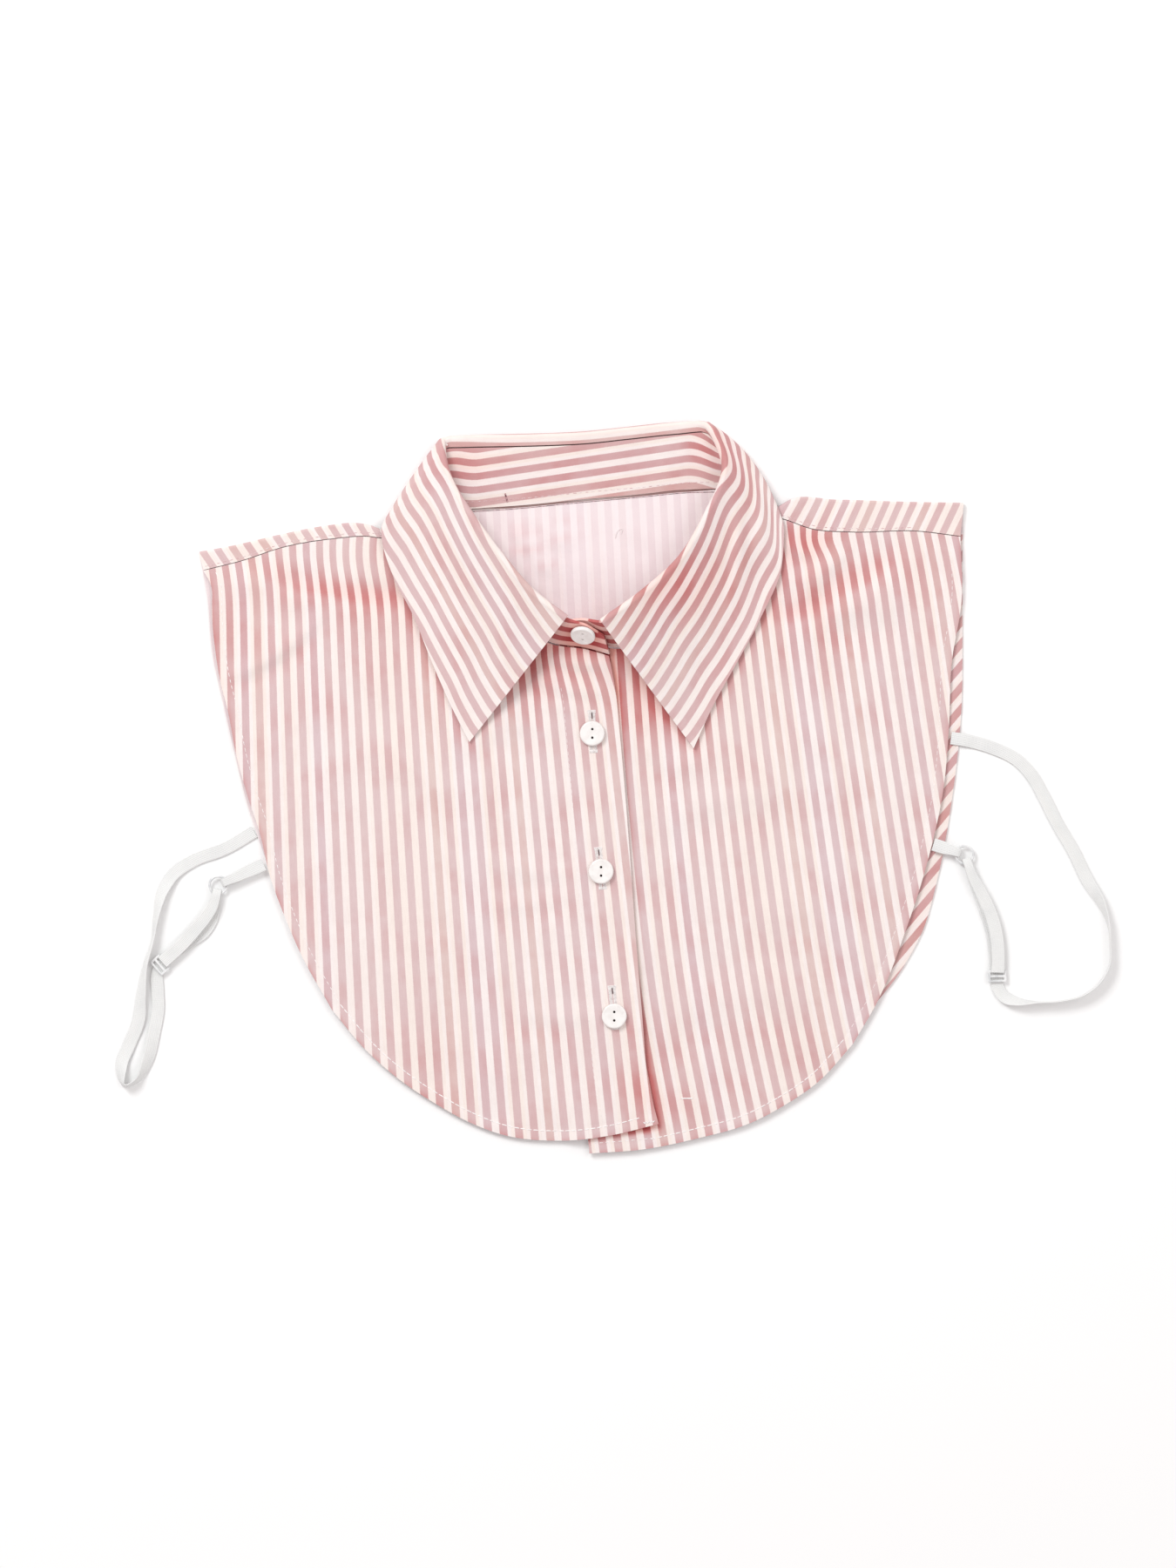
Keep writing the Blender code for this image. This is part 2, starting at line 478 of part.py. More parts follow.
def make_fronts(stand):
    """The two fronts, with their turned-under plackets. The left one laps over the right one."""
    left_neck, right_neck = seam_parts(stand)
    columns, rows = FRONT_CELLS + 1, FRONT_CELLS + 1

    shoulder = evenly(LEFT_SHOULDER_SEAM, SHOULDER_CELLS + 1)
    neck = evenly(left_neck, columns - SHOULDER_CELLS)
    top = np.vstack([shoulder[:-1], neck])
    left = evenly(LEFT_SIDE, rows)
    right = evenly(OVERLAP_EDGE[:-1] + (tuple(neck[-1]),), rows)
    top[0] = left[-1]
    plan = patch(evenly(LEFT_HEM, columns), top, left, right)
    x, y = plan[:, :, 0], plan[:, :, 1]
    z = front_height(x, y, left_neck, LEFT_RIDGES)
    under = np.array(UNDER_EDGE)
    under_x = np.interp(y, under[:, 1], under[:, 0])
    z = z + OVERLAP_LIFT * ramp(x - under_x, OVERLAP_START, OVERLAP_END)
    thick = placket_thickness(OVERLAP_EDGE, x, y, 1)
    cloth_wall("front_left", np.dstack([x, y, z]), thick)

    shoulder = evenly(RIGHT_SHOULDER_SEAM, SHOULDER_CELLS + 1)
    neck = evenly(right_neck[::-1], columns - SHOULDER_CELLS)
    top = np.vstack([neck[:-1], shoulder])
    right = evenly(RIGHT_SIDE, rows)
    left = evenly(UNDER_EDGE[:-1] + (tuple(neck[0]),), rows)
    top[-1] = right[-1]
    plan = patch(evenly(RIGHT_HEM, columns), top, left, right)
    x, y = plan[:, :, 0], plan[:, :, 1]
    overlap = np.array(OVERLAP_EDGE)
    clear = ramp(x - np.interp(y, overlap[:, 1], overlap[:, 0]), *CLEAR_OF_OVERLAP)
    z = front_height(x, y, right_neck, ()) + ridges(RIGHT_RIDGES, x, y) * clear
    thick = placket_thickness(UNDER_EDGE, x, y, -1)
    cloth_wall("front_right", np.dstack([x, y, z]), thick)


def placket_thickness(edge, x, y, side):
    """Wall thickness of a front: more where the placket is turned under."""
    line = np.array(sorted(edge, key=lambda place: place[1]))
    from_edge = (np.interp(y, line[:, 1], line[:, 0]) - x) * side
    turned_under = 1 - ramp(from_edge, PLACKET_WIDTH - PLACKET_BLEND, PLACKET_WIDTH + PLACKET_BLEND)
    return PANEL_CLOTH + (PLACKET_CLOTH - PANEL_CLOTH) * turned_under


def make_back(stand):
    """The back panel. At each shoulder it turns over to the front and ends at the shoulder seam."""
    left_neck, right_neck = seam_parts(stand)
    shoulder_cells, neck_cells, rows = BACK_SHOULDER_CELLS, BACK_NECK_CELLS, BACK_ROWS
    turn_rows = len(SHOULDER_TURN_ANGLES) + 2
    left_fold = evenly(LEFT_SHOULDER_FOLD, shoulder_cells + 1)
    right_fold = evenly(RIGHT_SHOULDER_FOLD, shoulder_cells + 1)
    neck = evenly(BACK_NECK, neck_cells + 1)
    top = np.vstack([left_fold[:-1], neck, right_fold[1:]])
    columns = len(top)
    left_end = evenly(LEFT_SHOULDER_SEAM, shoulder_cells + 1)
    right_end = evenly(RIGHT_SHOULDER_SEAM, shoulder_cells + 1)
    seam = np.vstack([left_end[:-1], neck, right_end[1:]])
    on_shoulder = np.ones(columns, bool)
    on_shoulder[shoulder_cells + 1:shoulder_cells + neck_cells] = False
    seam[shoulder_cells] = left_end[-1]
    seam[shoulder_cells + neck_cells] = right_end[0]

    above = np.where(np.arange(columns) < columns / 2,
                     front_height(seam[:, 0], seam[:, 1], left_neck, LEFT_RIDGES),
                     front_height(seam[:, 0], seam[:, 1], right_neck, RIGHT_RIDGES))
    below = back_height(top[:, 0], top[:, 1])
    radius = np.where(on_shoulder, (above - below) / 2, 0.0)
    base_top = top.copy()
    base_top[:, 1] -= np.where(on_shoulder, radius + PANEL_CLOTH / 2, 0.0)
    left = evenly(BACK_LEFT_SIDE, rows)
    right = evenly(BACK_RIGHT_SIDE, rows)
    share = np.linspace(0, 1, rows)[:, None]
    left = left - (left[-1] - base_top[0]) * share
    right = right - (right[-1] - base_top[-1]) * share
    plan = patch(evenly(BACK_HEM, columns), base_top, left, right)
    x, y = plan[:, :, 0], plan[:, :, 1]
    grid = np.dstack([x, y, back_height(x, y)])

    turned = np.repeat(grid[:, -1:, :], turn_rows, axis=1)
    for j, angle in enumerate(SHOULDER_TURN_ANGLES):
        turn = math.radians(angle)
        turned[:, j, 1] = base_top[:, 1] + radius * math.sin(turn)
        turned[:, j, 2] = below + radius * (1 - math.cos(turn))
    reach = np.minimum(seam[:, 1] + SHOULDER_SEAM_GAP, base_top[:, 1] - SHORTEST_TURN)
    for j, share in ((turn_rows - 2, 0.5), (turn_rows - 1, 1.0)):
        turned[:, j, 0] = grid[:, -1, 0] + (seam[:, 0] - grid[:, -1, 0]) * share
        turned[:, j, 1] = base_top[:, 1] + (reach - base_top[:, 1]) * share
        turned[:, j, 2] = above
    for i in np.nonzero(~on_shoulder)[0]:
        for j in range(turn_rows):
            turned[i, j] = grid[i, -1] + np.array([0.0, GAP * (j + 1), 0.0])
    whole = np.concatenate([grid, turned], axis=1)
    keep = np.ones((columns - 1, rows + turn_rows - 1), bool)
    keep[shoulder_cells:shoulder_cells + neck_cells, rows - 1:] = False
    cloth_wall("back_panel", whole, PANEL_CLOTH, keep)


def make_button(name, place, up):
    """A turned shirt button with a shallow rim and two holes."""
    mesh = bmesh.new()
    rings = []
    for inwards, height in BUTTON_OUTLINE:
        distance = BUTTON_DIAMETER / 2 - inwards
        if distance < GAP:
            rings.append([mesh.verts.new((0.0, 0.0, height * MM))])
            continue
        ring = []
        for k in range(BUTTON_SIDES):
            angle = 2 * math.pi * k / BUTTON_SIDES
            ring.append(mesh.verts.new((distance * math.cos(angle) * MM,
                                        distance * math.sin(angle) * MM, height * MM)))
        rings.append(ring)
    for lower, upper in zip(rings[:-1], rings[1:]):
        for k in range(BUTTON_SIDES):
            after = (k + 1) % BUTTON_SIDES
            if len(lower) == 1:
                mesh.faces.new((lower[0], upper[after], upper[k]))
            elif len(upper) == 1:
                mesh.faces.new((lower[k], lower[after], upper[0]))
            else:
                mesh.faces.new((lower[k], lower[after], upper[after], upper[k]))
    button = mesh_object(name, mesh, "button")
    for k, side in enumerate((-1, 1)):
        bpy.ops.mesh.primitive_cylinder_add(
            vertices=BUTTON_HOLE_SIDES, radius=BUTTON_HOLE / 2 * MM, depth=DRILL_DEPTH * MM,
            location=(0.0, side * BUTTON_HOLE_PITCH / 2 * MM, BUTTON_THICKNESS / 2 * MM),
            rotation=(0.0, 0.0, DRILL_TURN))
        drill = bpy.context.object
        drill.name = name + "_drill_" + str(k)
        drill.display_type = "WIRE"
        drill.hide_render = True
        cut = button.modifiers.new("hole " + str(k), "BOOLEAN")
        cut.operation = "DIFFERENCE"
        cut.solver = "EXACT"
        cut.object = drill
        drill.parent = button
    up = Vector(up).normalized()
    side = Vector((1.0, 0.0, 0.0))
    side = (side - up * side.dot(up)).normalized()
    turn = Matrix((side, up.cross(side), up)).transposed().to_4x4()
    button.matrix_world = Matrix.Translation(Vector(place) * MM) @ turn
    return button


def make_buttons(stand):
    """Three buttons down the front, and the one that closes the stand."""
    for name, x, y in FRONT_BUTTONS:
        top = PANEL_CLOTH / 2 + LAYER_STEP + OVERLAP_LIFT + PLACKET_CLOTH / 2
        make_button(name, (x, y, top + GAP), (0.0, 0.0, 1.0))
    at = STAND_TOP_END[0][0]
    roll, seam = stand[at, 0:3], stand[at, 3:6]
    up = (roll - seam) / np.linalg.norm(roll - seam)
    along = stand[at + 1, 0:3] + stand[at + 1, 3:6] - stand[at - 1, 0:3] - stand[at - 1, 3:6]
    out = np.cross(up, along)
    out = out / np.linalg.norm(out)
    place = seam + (roll - seam) * NECK_BUTTON_SHARE + out * (STAND_CLOTH / 2 + BUTTON_OFF_STAND)
    make_button("button_neck", place, out)


def route_through(way_out, ring, heading, below_first, way_back):
    """An elastic's route out to its ring, round the ring's wire and back."""
    turn = []
    for reach, height in RING_TURN if below_first else reversed(RING_TURN):
        x = ring[0] - reach * math.cos(math.radians(heading))
        y = ring[1] - reach * math.sin(math.radians(heading))
        turn.append((x, y, height, 0, WIDTH_IN_RING))
    return way_out + tuple(turn) + way_back


def make_elastic(name, route):
    """A flat elastic along a route, leaning where it is twisted."""
    spans = np.linalg.norm(np.diff(np.array(route)[:, :3], axis=0), axis=1)
    path = curve_through(route, [max(1, round(span / ELASTIC_CELL)) for span in spans])
    centre, lean = path[:, :3], np.radians(path[:, 3])
    half_w, half_t = path[:, 4] / 2, ELASTIC_THICKNESS / 2
    clear = half_w * np.abs(np.sin(lean)) + half_t * np.abs(np.cos(lean)) + FLOOR_CLEARANCE
    centre[:, 2] = np.maximum(centre[:, 2], clear)
    way = np.gradient(centre, axis=0)
    way = way / np.linalg.norm(way, axis=1)[:, None]
    flat = np.column_stack([-way[:, 1], way[:, 0], np.zeros(len(way))])
    for k in range(1, len(flat)):
        if np.linalg.norm(flat[k]) < STEEP_TURN:
            flat[k] = flat[k - 1]
        if flat[k] @ flat[k - 1] < 0:
            flat[k] = -flat[k]
    flat = flat / np.linalg.norm(flat, axis=1)[:, None]
    normal = np.cross(way, flat)
    side = flat * np.cos(lean)[:, None] + normal * np.sin(lean)[:, None]
    face = np.cross(side, way)
    mesh = bmesh.new()
    rings = []
    for k in range(len(centre)):
        ring = []
        for across, through in ((-1, -1), (1, -1), (1, 1), (-1, 1)):
            point = centre[k] + side[k] * across * half_w[k] + face[k] * through * half_t
            ring.append(mesh.verts.new(Vector(point) * MM))
        rings.append(ring)
    for first, second in zip(rings[:-1], rings[1:]):
        for k in range(4):
            after = (k + 1) % 4
            mesh.faces.new((first[k], first[after], second[after], second[k]))
    mesh.faces.new(list(reversed(rings[0])))
    mesh.faces.new(rings[-1])
    bmesh.ops.recalc_face_normals(mesh, faces=mesh.faces)
    return mesh_object(name, mesh, "elastic")


def make_ring(name, x, y):
    """A round-wire plastic ring."""
    bpy.ops.mesh.primitive_torus_add(
        major_segments=20, minor_segments=6, major_radius=(RING_OUTER - RING_WIRE) / 2 * MM,
        minor_radius=RING_WIRE / 2 * MM, location=(x * MM, y * MM, RING_HEIGHT * MM))
    ring = bpy.context.object
    ring.name = name
    ring.data.shade_smooth()
    ring.data.materials.append(finish("plastic", name))


def make_slider(name, x, y, turn):
    """A flat slide with two slots and a middle bar."""
    bpy.ops.mesh.primitive_cube_add(size=1.0)
    slider = bpy.context.object
    slider.name = name
    size = Matrix.Diagonal((SLIDER_WIDTH * MM, SLIDER_LENGTH * MM, SLIDER_THICKNESS * MM, 1.0))
    slider.data.transform(size)
    for side in (-1, 1):
        bpy.ops.mesh.primitive_cube_add(size=1.0)
        drill = bpy.context.object
        drill.name = name + "_slot_" + str(side + 1)
        slot = Matrix.Diagonal((SLIDER_SLOT[0] * MM, SLIDER_SLOT[1] * MM, DRILL_DEPTH * MM, 1.0))
        drill.data.transform(slot)
        drill.location = (0.0, side * SLIDER_SLOT_PITCH / 2 * MM, 0.0)
        drill.display_type = "WIRE"
        drill.hide_render = True
        drill.parent = slider
        cut = slider.modifiers.new("slot " + str(side + 1), "BOOLEAN")
        cut.operation = "DIFFERENCE"
        cut.solver = "EXACT"
        cut.object = drill
    slider.location = (x * MM, y * MM, SLIDER_HEIGHT * MM)
    slider.rotation_euler = (0.0, 0.0, math.radians(turn))
    slider.data.materials.append(finish("plastic", name))


def main():
    """Build every piece."""
    clear_scene()
    stand = make_collar()
    make_fronts(stand)
    make_back(stand)
    make_buttons(stand)
    for name, way_out, ring, heading, below_first, way_back in ELASTICS:
        make_elastic(name, route_through(way_out, ring, heading, below_first, way_back))
    make_ring("ring_left", *LEFT_RING)
    make_ring("ring_right", *RIGHT_RING)
    for row in SLIDERS:
        make_slider(*row)


if __name__ == "__main__":
    main()
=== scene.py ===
"""Detachable striped shirt collar, laid flat with its front up, dressed for a studio photograph.

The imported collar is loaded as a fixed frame. Each operator below makes one kind of piece around it: the
fronts, the back, the collar, the stitching, the buttons, the elastics and their plastic, and the stage.
Lengths in the tables are millimetres: X to the right, Y towards the collar, Z up from the surface.
"""
import math

import bpy
import numpy as np
from bpy.props import FloatProperty, FloatVectorProperty, PointerProperty
from mathutils import Matrix, Vector, noise
from mathutils.bvhtree import BVHTree


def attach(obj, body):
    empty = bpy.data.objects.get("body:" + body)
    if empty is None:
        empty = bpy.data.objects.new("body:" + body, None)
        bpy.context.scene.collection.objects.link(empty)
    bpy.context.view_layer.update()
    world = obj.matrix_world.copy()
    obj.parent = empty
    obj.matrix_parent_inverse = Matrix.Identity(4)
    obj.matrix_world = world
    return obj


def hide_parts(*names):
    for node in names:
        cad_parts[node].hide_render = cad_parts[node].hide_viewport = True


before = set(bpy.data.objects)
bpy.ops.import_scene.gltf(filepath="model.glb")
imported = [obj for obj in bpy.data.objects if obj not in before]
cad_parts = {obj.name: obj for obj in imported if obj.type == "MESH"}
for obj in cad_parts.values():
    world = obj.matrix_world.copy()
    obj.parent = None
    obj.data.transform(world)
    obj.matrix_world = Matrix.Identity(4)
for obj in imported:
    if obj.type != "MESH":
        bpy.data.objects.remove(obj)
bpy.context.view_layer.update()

bl_info = {
    "name": "Detachable shirt collar",
    "version": (1, 0, 0),
    "blender": (4, 5, 0),
    "location": "View3D > Sidebar > Collar",
    "description": "Sews a striped detachable shirt collar and sets it on a pale floor",
    "category": "Object",
}

MM = 0.001
PANEL_CLOTH = 1.0
PLACKET_CLOTH = 1.4
STAND_CLOTH = 1.4
FALL_CLOTH = 1.2
PLACKET_WIDTH = 25.0
PLACKET_BLEND = 4.0
GAP = 0.3
CURVE_STEPS = 24

LAYER_STEP = 1.6
COLLAR_LIFT = 1.5
COLLAR_LIFT_X = (98.0, 120.0)
COLLAR_LIFT_Y = (84.0, 107.0)
OVERLAP_LIFT = 2.3
OVERLAP_START = -14.0
OVERLAP_END = -4.0
NECK_RISE = 2.6
NECK_RISE_REACH = 13.0
SEAM_GAP = 1.3
SHOULDER_SEAM_GAP = 0.4
SHORTEST_TURN = 0.8
CLEAR_OF_OVERLAP = (2.0, 20.0)
ROLL_RADIUS = 1.3

FRONT_CELLS = 21
SHOULDER_CELLS = 10
FRONT_FINE = 7
BACK_FINE = 5
COLLAR_FINE = 7
HEM_WIDTH = 4.6
BUTTON_DIAMETER = 11.8
BUTTON_THICKNESS = 2.2
BUTTON_HOLE = 1.6
BUTTON_HOLE_PITCH = 4.0
ELASTIC_THICKNESS = 1.0
FLOOR_CLEARANCE = 0.15
STEEP_TURN = 0.2
RIDGE_FADE = 0.32
FLAT_DROP = (2.0, 4.0)
BUTTON_OFF_STAND = 0.6
RING_OUTER = 9.4
RING_WIRE = 1.2
RING_HEIGHT = 2.4
SLIDER_LENGTH = 5.6
SLIDER_WIDTH = 8.6
SLIDER_THICKNESS = 1.2
SLIDER_SLOT = (6.4, 1.2)
SLIDER_SLOT_PITCH = 2.4
SLIDER_HEIGHT = 2.0
DRILL_DEPTH = 6.0
SLIDER_EDGE = 0.3

SENSOR_HEIGHT = 24.0
VIEW_CENTRE = (2.87, 1.23)
KEY_PLACE = (-1.0, 1.3, 1.9)
SIDE_PLACE = (1.4, 0.6, 2.2)

# Sections of the collar, from the left leaf's front edge round the back to the right leaf's front edge.
# Columns: cells to the next row; roll x, y, z; neck seam x, y, z; outer edge x, y, z;
# how fast the fall drops from the roll; how far the stand's top edge lies below the roll;
# how far the section bows forward.
COLLAR_SECTIONS = (
    (2, -6.2, 80.4, 22.5, -13.9, 68.1, 6.8, -52.9, 20.9, 4.4, 1.6, 2.2, 0.0),
    (2, -22.6, 93.1, 22.5, -29.9, 80.4, 6.4, -62.3, 39.8, 4.4, 1.6, 2.2, 0.0),
    (2, -37.3, 110.3, 21.0, -48.0, 99.2, 6.3, -70.9, 59.5, 4.6, 1.6, 2.4, 0.0),
    (2, -50.4, 128.3, 18.0, -61.9, 113.2, 6.3, -79.1, 80.0, 5.0, 1.7, 3.0, 0.0),
    (2, -61.1, 146.8, 13.5, -71.3, 123.0, 6.2, -89.0, 99.6, 5.6, 1.8, 4.0, 0.0),
    (2, -63.8, 158.1, 10.5, -75.0, 126.7, 5.6, -94.1, 118.5, 6.3, 2.0, 5.0, -1.0),
    (2, -64.0, 162.8, 8.0, -76.3, 128.3, 4.1, -92.8, 123.9, 4.2, 2.4, 5.5, -1.0),
    (2, -60.5, 164.6, 6.5, -73.8, 129.2, 2.6, -89.5, 124.6, 0.6, 4.0, 5.5, -1.0),
    (2, -50.4, 165.2, 6.5, -51.3, 130.8, 2.4, -68.9, 117.7, 0.6, 7.0, 5.5, 0.0),
    (2, -27.9, 165.6, 6.8, -27.9, 132.4, 2.4, -40.2, 115.2, 0.6, 7.0, 5.5, 0.0),
    (2, -2.5, 166.5, 7.0, -2.5, 134.9, 2.4, -3.3, 114.4, 0.6, 7.0, 5.5, 0.0),
    (2, 21.3, 168.9, 7.0, 25.4, 137.4, 2.4, 33.6, 116.0, 0.6, 7.0, 5.5, 0.0),
    (2, 41.8, 171.0, 6.8, 50.0, 139.8, 2.4, 66.4, 119.3, 0.6, 7.0, 5.5, 0.0),
    (2, 53.0, 171.6, 6.5, 71.8, 140.2, 2.6, 84.8, 133.9, 0.6, 4.0, 5.5, 4.0),
    (2, 57.0, 170.4, 8.0, 75.9, 139.0, 4.1, 87.9, 133.9, 4.4, 2.4, 5.5, 4.6),
    (2, 60.6, 165.4, 10.5, 76.7, 134.5, 5.6, 94.9, 119.5, 6.5, 2.0, 5.0, 4.0),
    (3, 65.4, 150.9, 13.5, 75.9, 124.2, 6.2, 93.9, 103.7, 5.6, 1.8, 4.0, 1.5),
    (3, 57.0, 128.7, 18.0, 68.9, 111.1, 6.3, 84.1, 79.5, 5.0, 1.7, 3.0, 0.0),
    (3, 45.1, 108.7, 20.5, 55.4, 93.1, 6.0, 73.0, 58.6, 4.6, 1.6, 2.4, 0.0),
    (3, 27.5, 92.3, 22.0, 35.7, 74.6, 5.4, 61.9, 38.5, 4.4, 1.6, 2.2, 0.0),
    (0, 8.2, 78.7, 22.5, 16.4, 66.0, 5.0, 52.5, 18.0, 4.4, 1.6, 2.2, 0.0),
)

# The stand runs past the leaves to its buttoned ends. Columns: cells to the next row; roll x, y, z;
# neck seam x, y, z; how far the stand's top edge lies below the roll.
STAND_TOP_END = (
    (2, 9.0, 75.2, 20.0, 13.1, 62.6, 7.0, 6.0),
    (2, 0.8, 77.8, 22.0, 0.8, 66.0, 6.9, 2.2),
)
STAND_UNDER_END = (
    (2, 0.8, 80.2, 20.5, 0.6, 69.6, 4.9, 2.6),
    (0, -8.0, 81.4, 19.0, -11.0, 70.4, 4.9, 6.0),
)

# Outlines in plan, as X and Y.
LEFT_SHOULDER_SEAM = ((-178.0, 101.5), (-160.0, 106.0), (-140.0, 112.5), (-116.5, 116.4), (-100.0, 117.4),
                      (-94.0, 116.6), (-87.0, 117.0), (-76.4, 121.2))
LEFT_SIDE = ((-117.5, -105.0), (-132.0, -79.0), (-140.0, -60.5), (-147.0, -41.0), (-151.0, -23.5),
             (-157.5, -3.5), (-162.0, 12.5), (-166.5, 35.5), (-170.0, 49.5), (-172.5, 65.0),
             (-174.0, 81.5), (-174.5, 95.0), (-178.0, 101.5))
LEFT_HEM = ((-117.5, -105.0), (-101.5, -124.0), (-85.5, -138.0), (-69.0, -149.0), (-52.5, -158.0),
            (-36.0, -164.0), (-12.0, -166.5), (13.0, -164.0), (36.0, -158.5))
OVERLAP_EDGE = ((36.0, -158.5), (32.0, -142.5), (28.0, -103.5), (25.0, -66.5), (22.5, -31.5),
                (19.6, 5.3), (17.3, 30.0), (15.9, 44.3), (14.2, 54.0), (12.8, 61.3))
RIGHT_SHOULDER_SEAM = ((78.2, 128.6), (95.0, 125.4), (108.0, 121.0), (127.5, 119.5), (157.0, 120.0),
                       (178.0, 117.5))
RIGHT_SIDE = ((127.5, -121.0), (139.0, -101.0), (152.5, -67.0), (163.0, -33.5), (170.0, -1.0),
              (172.5, 26.5), (174.0, 59.0), (178.5, 87.0), (178.0, 117.5))
RIGHT_HEM = ((3.5, -172.5), (29.5, -170.5), (54.0, -165.5), (78.5, -158.5), (95.0, -150.0),
             (111.5, -138.5), (127.5, -121.0))
UNDER_EDGE = ((3.5, -172.5), (-3.5, -89.0), (-8.0, 1.0), (-12.4, 68.6))
BACK_LEFT_SIDE = ((-113.0, -103.5), (-132.5, -73.5), (-146.0, -41.0), (-157.0, -9.0), (-166.5, 30.0),
                  (-174.0, 65.0), (-176.5, 92.5), (-180.0, 110.5))
BACK_HEM = ((-113.0, -103.5), (-93.5, -126.0), (-69.0, -144.0), (-36.0, -159.0), (-3.5, -162.0),
            (29.5, -163.5), (62.5, -159.0), (95.0, -144.5), (119.5, -125.0), (131.0, -110.5))
BACK_RIGHT_SIDE = ((131.0, -110.5), (149.0, -88.0), (159.5, -69.5), (167.5, -42.0), (174.0, -6.0),
                   (178.5, 36.5), (179.0, 75.0), (179.0, 108.0), (179.5, 133.5))
LEFT_SHOULDER_FOLD = ((-180.0, 110.5), (-166.0, 113.0), (-140.0, 119.0), (-119.5, 122.9),
                      (-106.0, 124.0), (-99.0, 122.8), (-93.0, 120.6), (-86.0, 121.4), (-79.5, 125.6))
BACK_NECK = ((-79.5, 125.6), (-73.8, 128.1), (-51.3, 129.7), (-27.9, 131.3), (-2.5, 133.8),
             (25.4, 136.3), (50.0, 138.6), (71.8, 139.0), (79.5, 136.6))
RIGHT_SHOULDER_FOLD = ((79.5, 136.6), (84.0, 132.2), (88.8, 129.6), (93.0, 132.0), (98.0, 135.0),
                       (119.5, 135.0), (152.0, 134.0), (179.5, 133.5))

# Soft ridges in the fronts. Columns: start x, y; end x, y; height; half width.
LEFT_RIDGES = (
    (-172.0, 92.0, -128.0, 104.0, 1.3, 6.0),
    (-150.0, 88.0, -106.0, 92.0, 1.6, 7.0),
    (-166.0, 52.0, -128.0, 80.0, 1.1, 7.0),
    (-120.0, 30.0, -40.0, -12.0, 0.8, 11.0),
    (-96.0, -60.0, -36.0, -96.0, 0.8, 12.0),
)
RIGHT_RIDGES = (
    (98.0, 84.0, 122.0, 108.0, 1.9, 6.0),
    (110.0, 78.0, 146.0, 100.0, 1.3, 7.0),
    (112.0, 40.0, 70.0, -20.0, 0.8, 12.0),
    (60.0, -70.0, 128.0, -50.0, 0.8, 12.0),
)
LEAF_RIDGES = (
    (70.0, 132.0, 78.0, 94.0, 1.6, 4.0),
    (80.0, 126.0, 84.0, 100.0, 1.2, 3.5),
    (58.0, 104.0, 30.0, 74.0, 1.0, 5.0),
)

# Buttons on the fronts: name, X, Y. The neck button sits on the stand.
FRONT_BUTTONS = (
    ("button_top", 4.9, 25.0),
    ("button_middle", 9.0, -39.8),
    ("button_low", 15.2, -107.8),
)
NECK_BUTTON_SHARE = 0.56

# Elastic routes, to the ring and back from it. Columns: X, Y, Z of the middle; lean of the flat side in
# degrees; width.
LEFT_STRAP_OUT = (
    (-154.2, -21.2, 0.6, 0, 6.0), (-167.7, -29.1, 0.6, 0, 6.0), (-182.9, -34.9, 0.6, 0, 6.0),
    (-191.5, -40.6, 0.6, 8, 6.0), (-197.2, -49.2, 1.2, 30, 6.0), (-200.1, -60.7, 2.6, 62, 6.0),
    (-201.8, -72.2, 3.3, 76, 6.0), (-205.4, -84.6, 2.9, 68, 6.0), (-207.4, -98.8, 1.6, 36, 6.0),
    (-208.6, -110.3, 0.8, 10, 6.0), (-213.2, -122.0, 0.7, 4, 6.0), (-216.6, -131.0, 1.4, 20, 6.0),
    (-214.6, -140.6, 3.4, 80, 6.0), (-209.4, -138.4, 3.3, 70, 6.0), (-204.6, -129.6, 1.8, 36, 6.0),
    (-201.2, -115.2, 0.9, 10, 6.0), (-199.4, -104.5, 0.6, 0, 6.0), (-199.6, -96.0, 0.6, 0, 6.0),
    (-199.8, -88.4, 0.6, 0, 6.0), (-197.2, -82.6, 0.6, 0, 6.0), (-192.0, -78.2, 0.6, 0, 6.0),
    (-185.4, -73.6, 0.6, 0, 6.0), (-177.6, -68.0, 0.6, 0, 6.0), (-173.4, -60.6, 0.6, 0, 5.6),
    (-172.2, -54.4, 0.6, 0, 4.6),
)
LEFT_STRAP_BACK = (
    (-173.0, -55.0, 4.1, 0, 4.8), (-176.6, -60.8, 3.8, 0, 5.8), (-181.6, -67.0, 3.6, 0, 6.0),
    (-188.6, -74.8, 3.4, 0, 6.0), (-197.2, -82.6, 3.4, 0, 6.0),
)
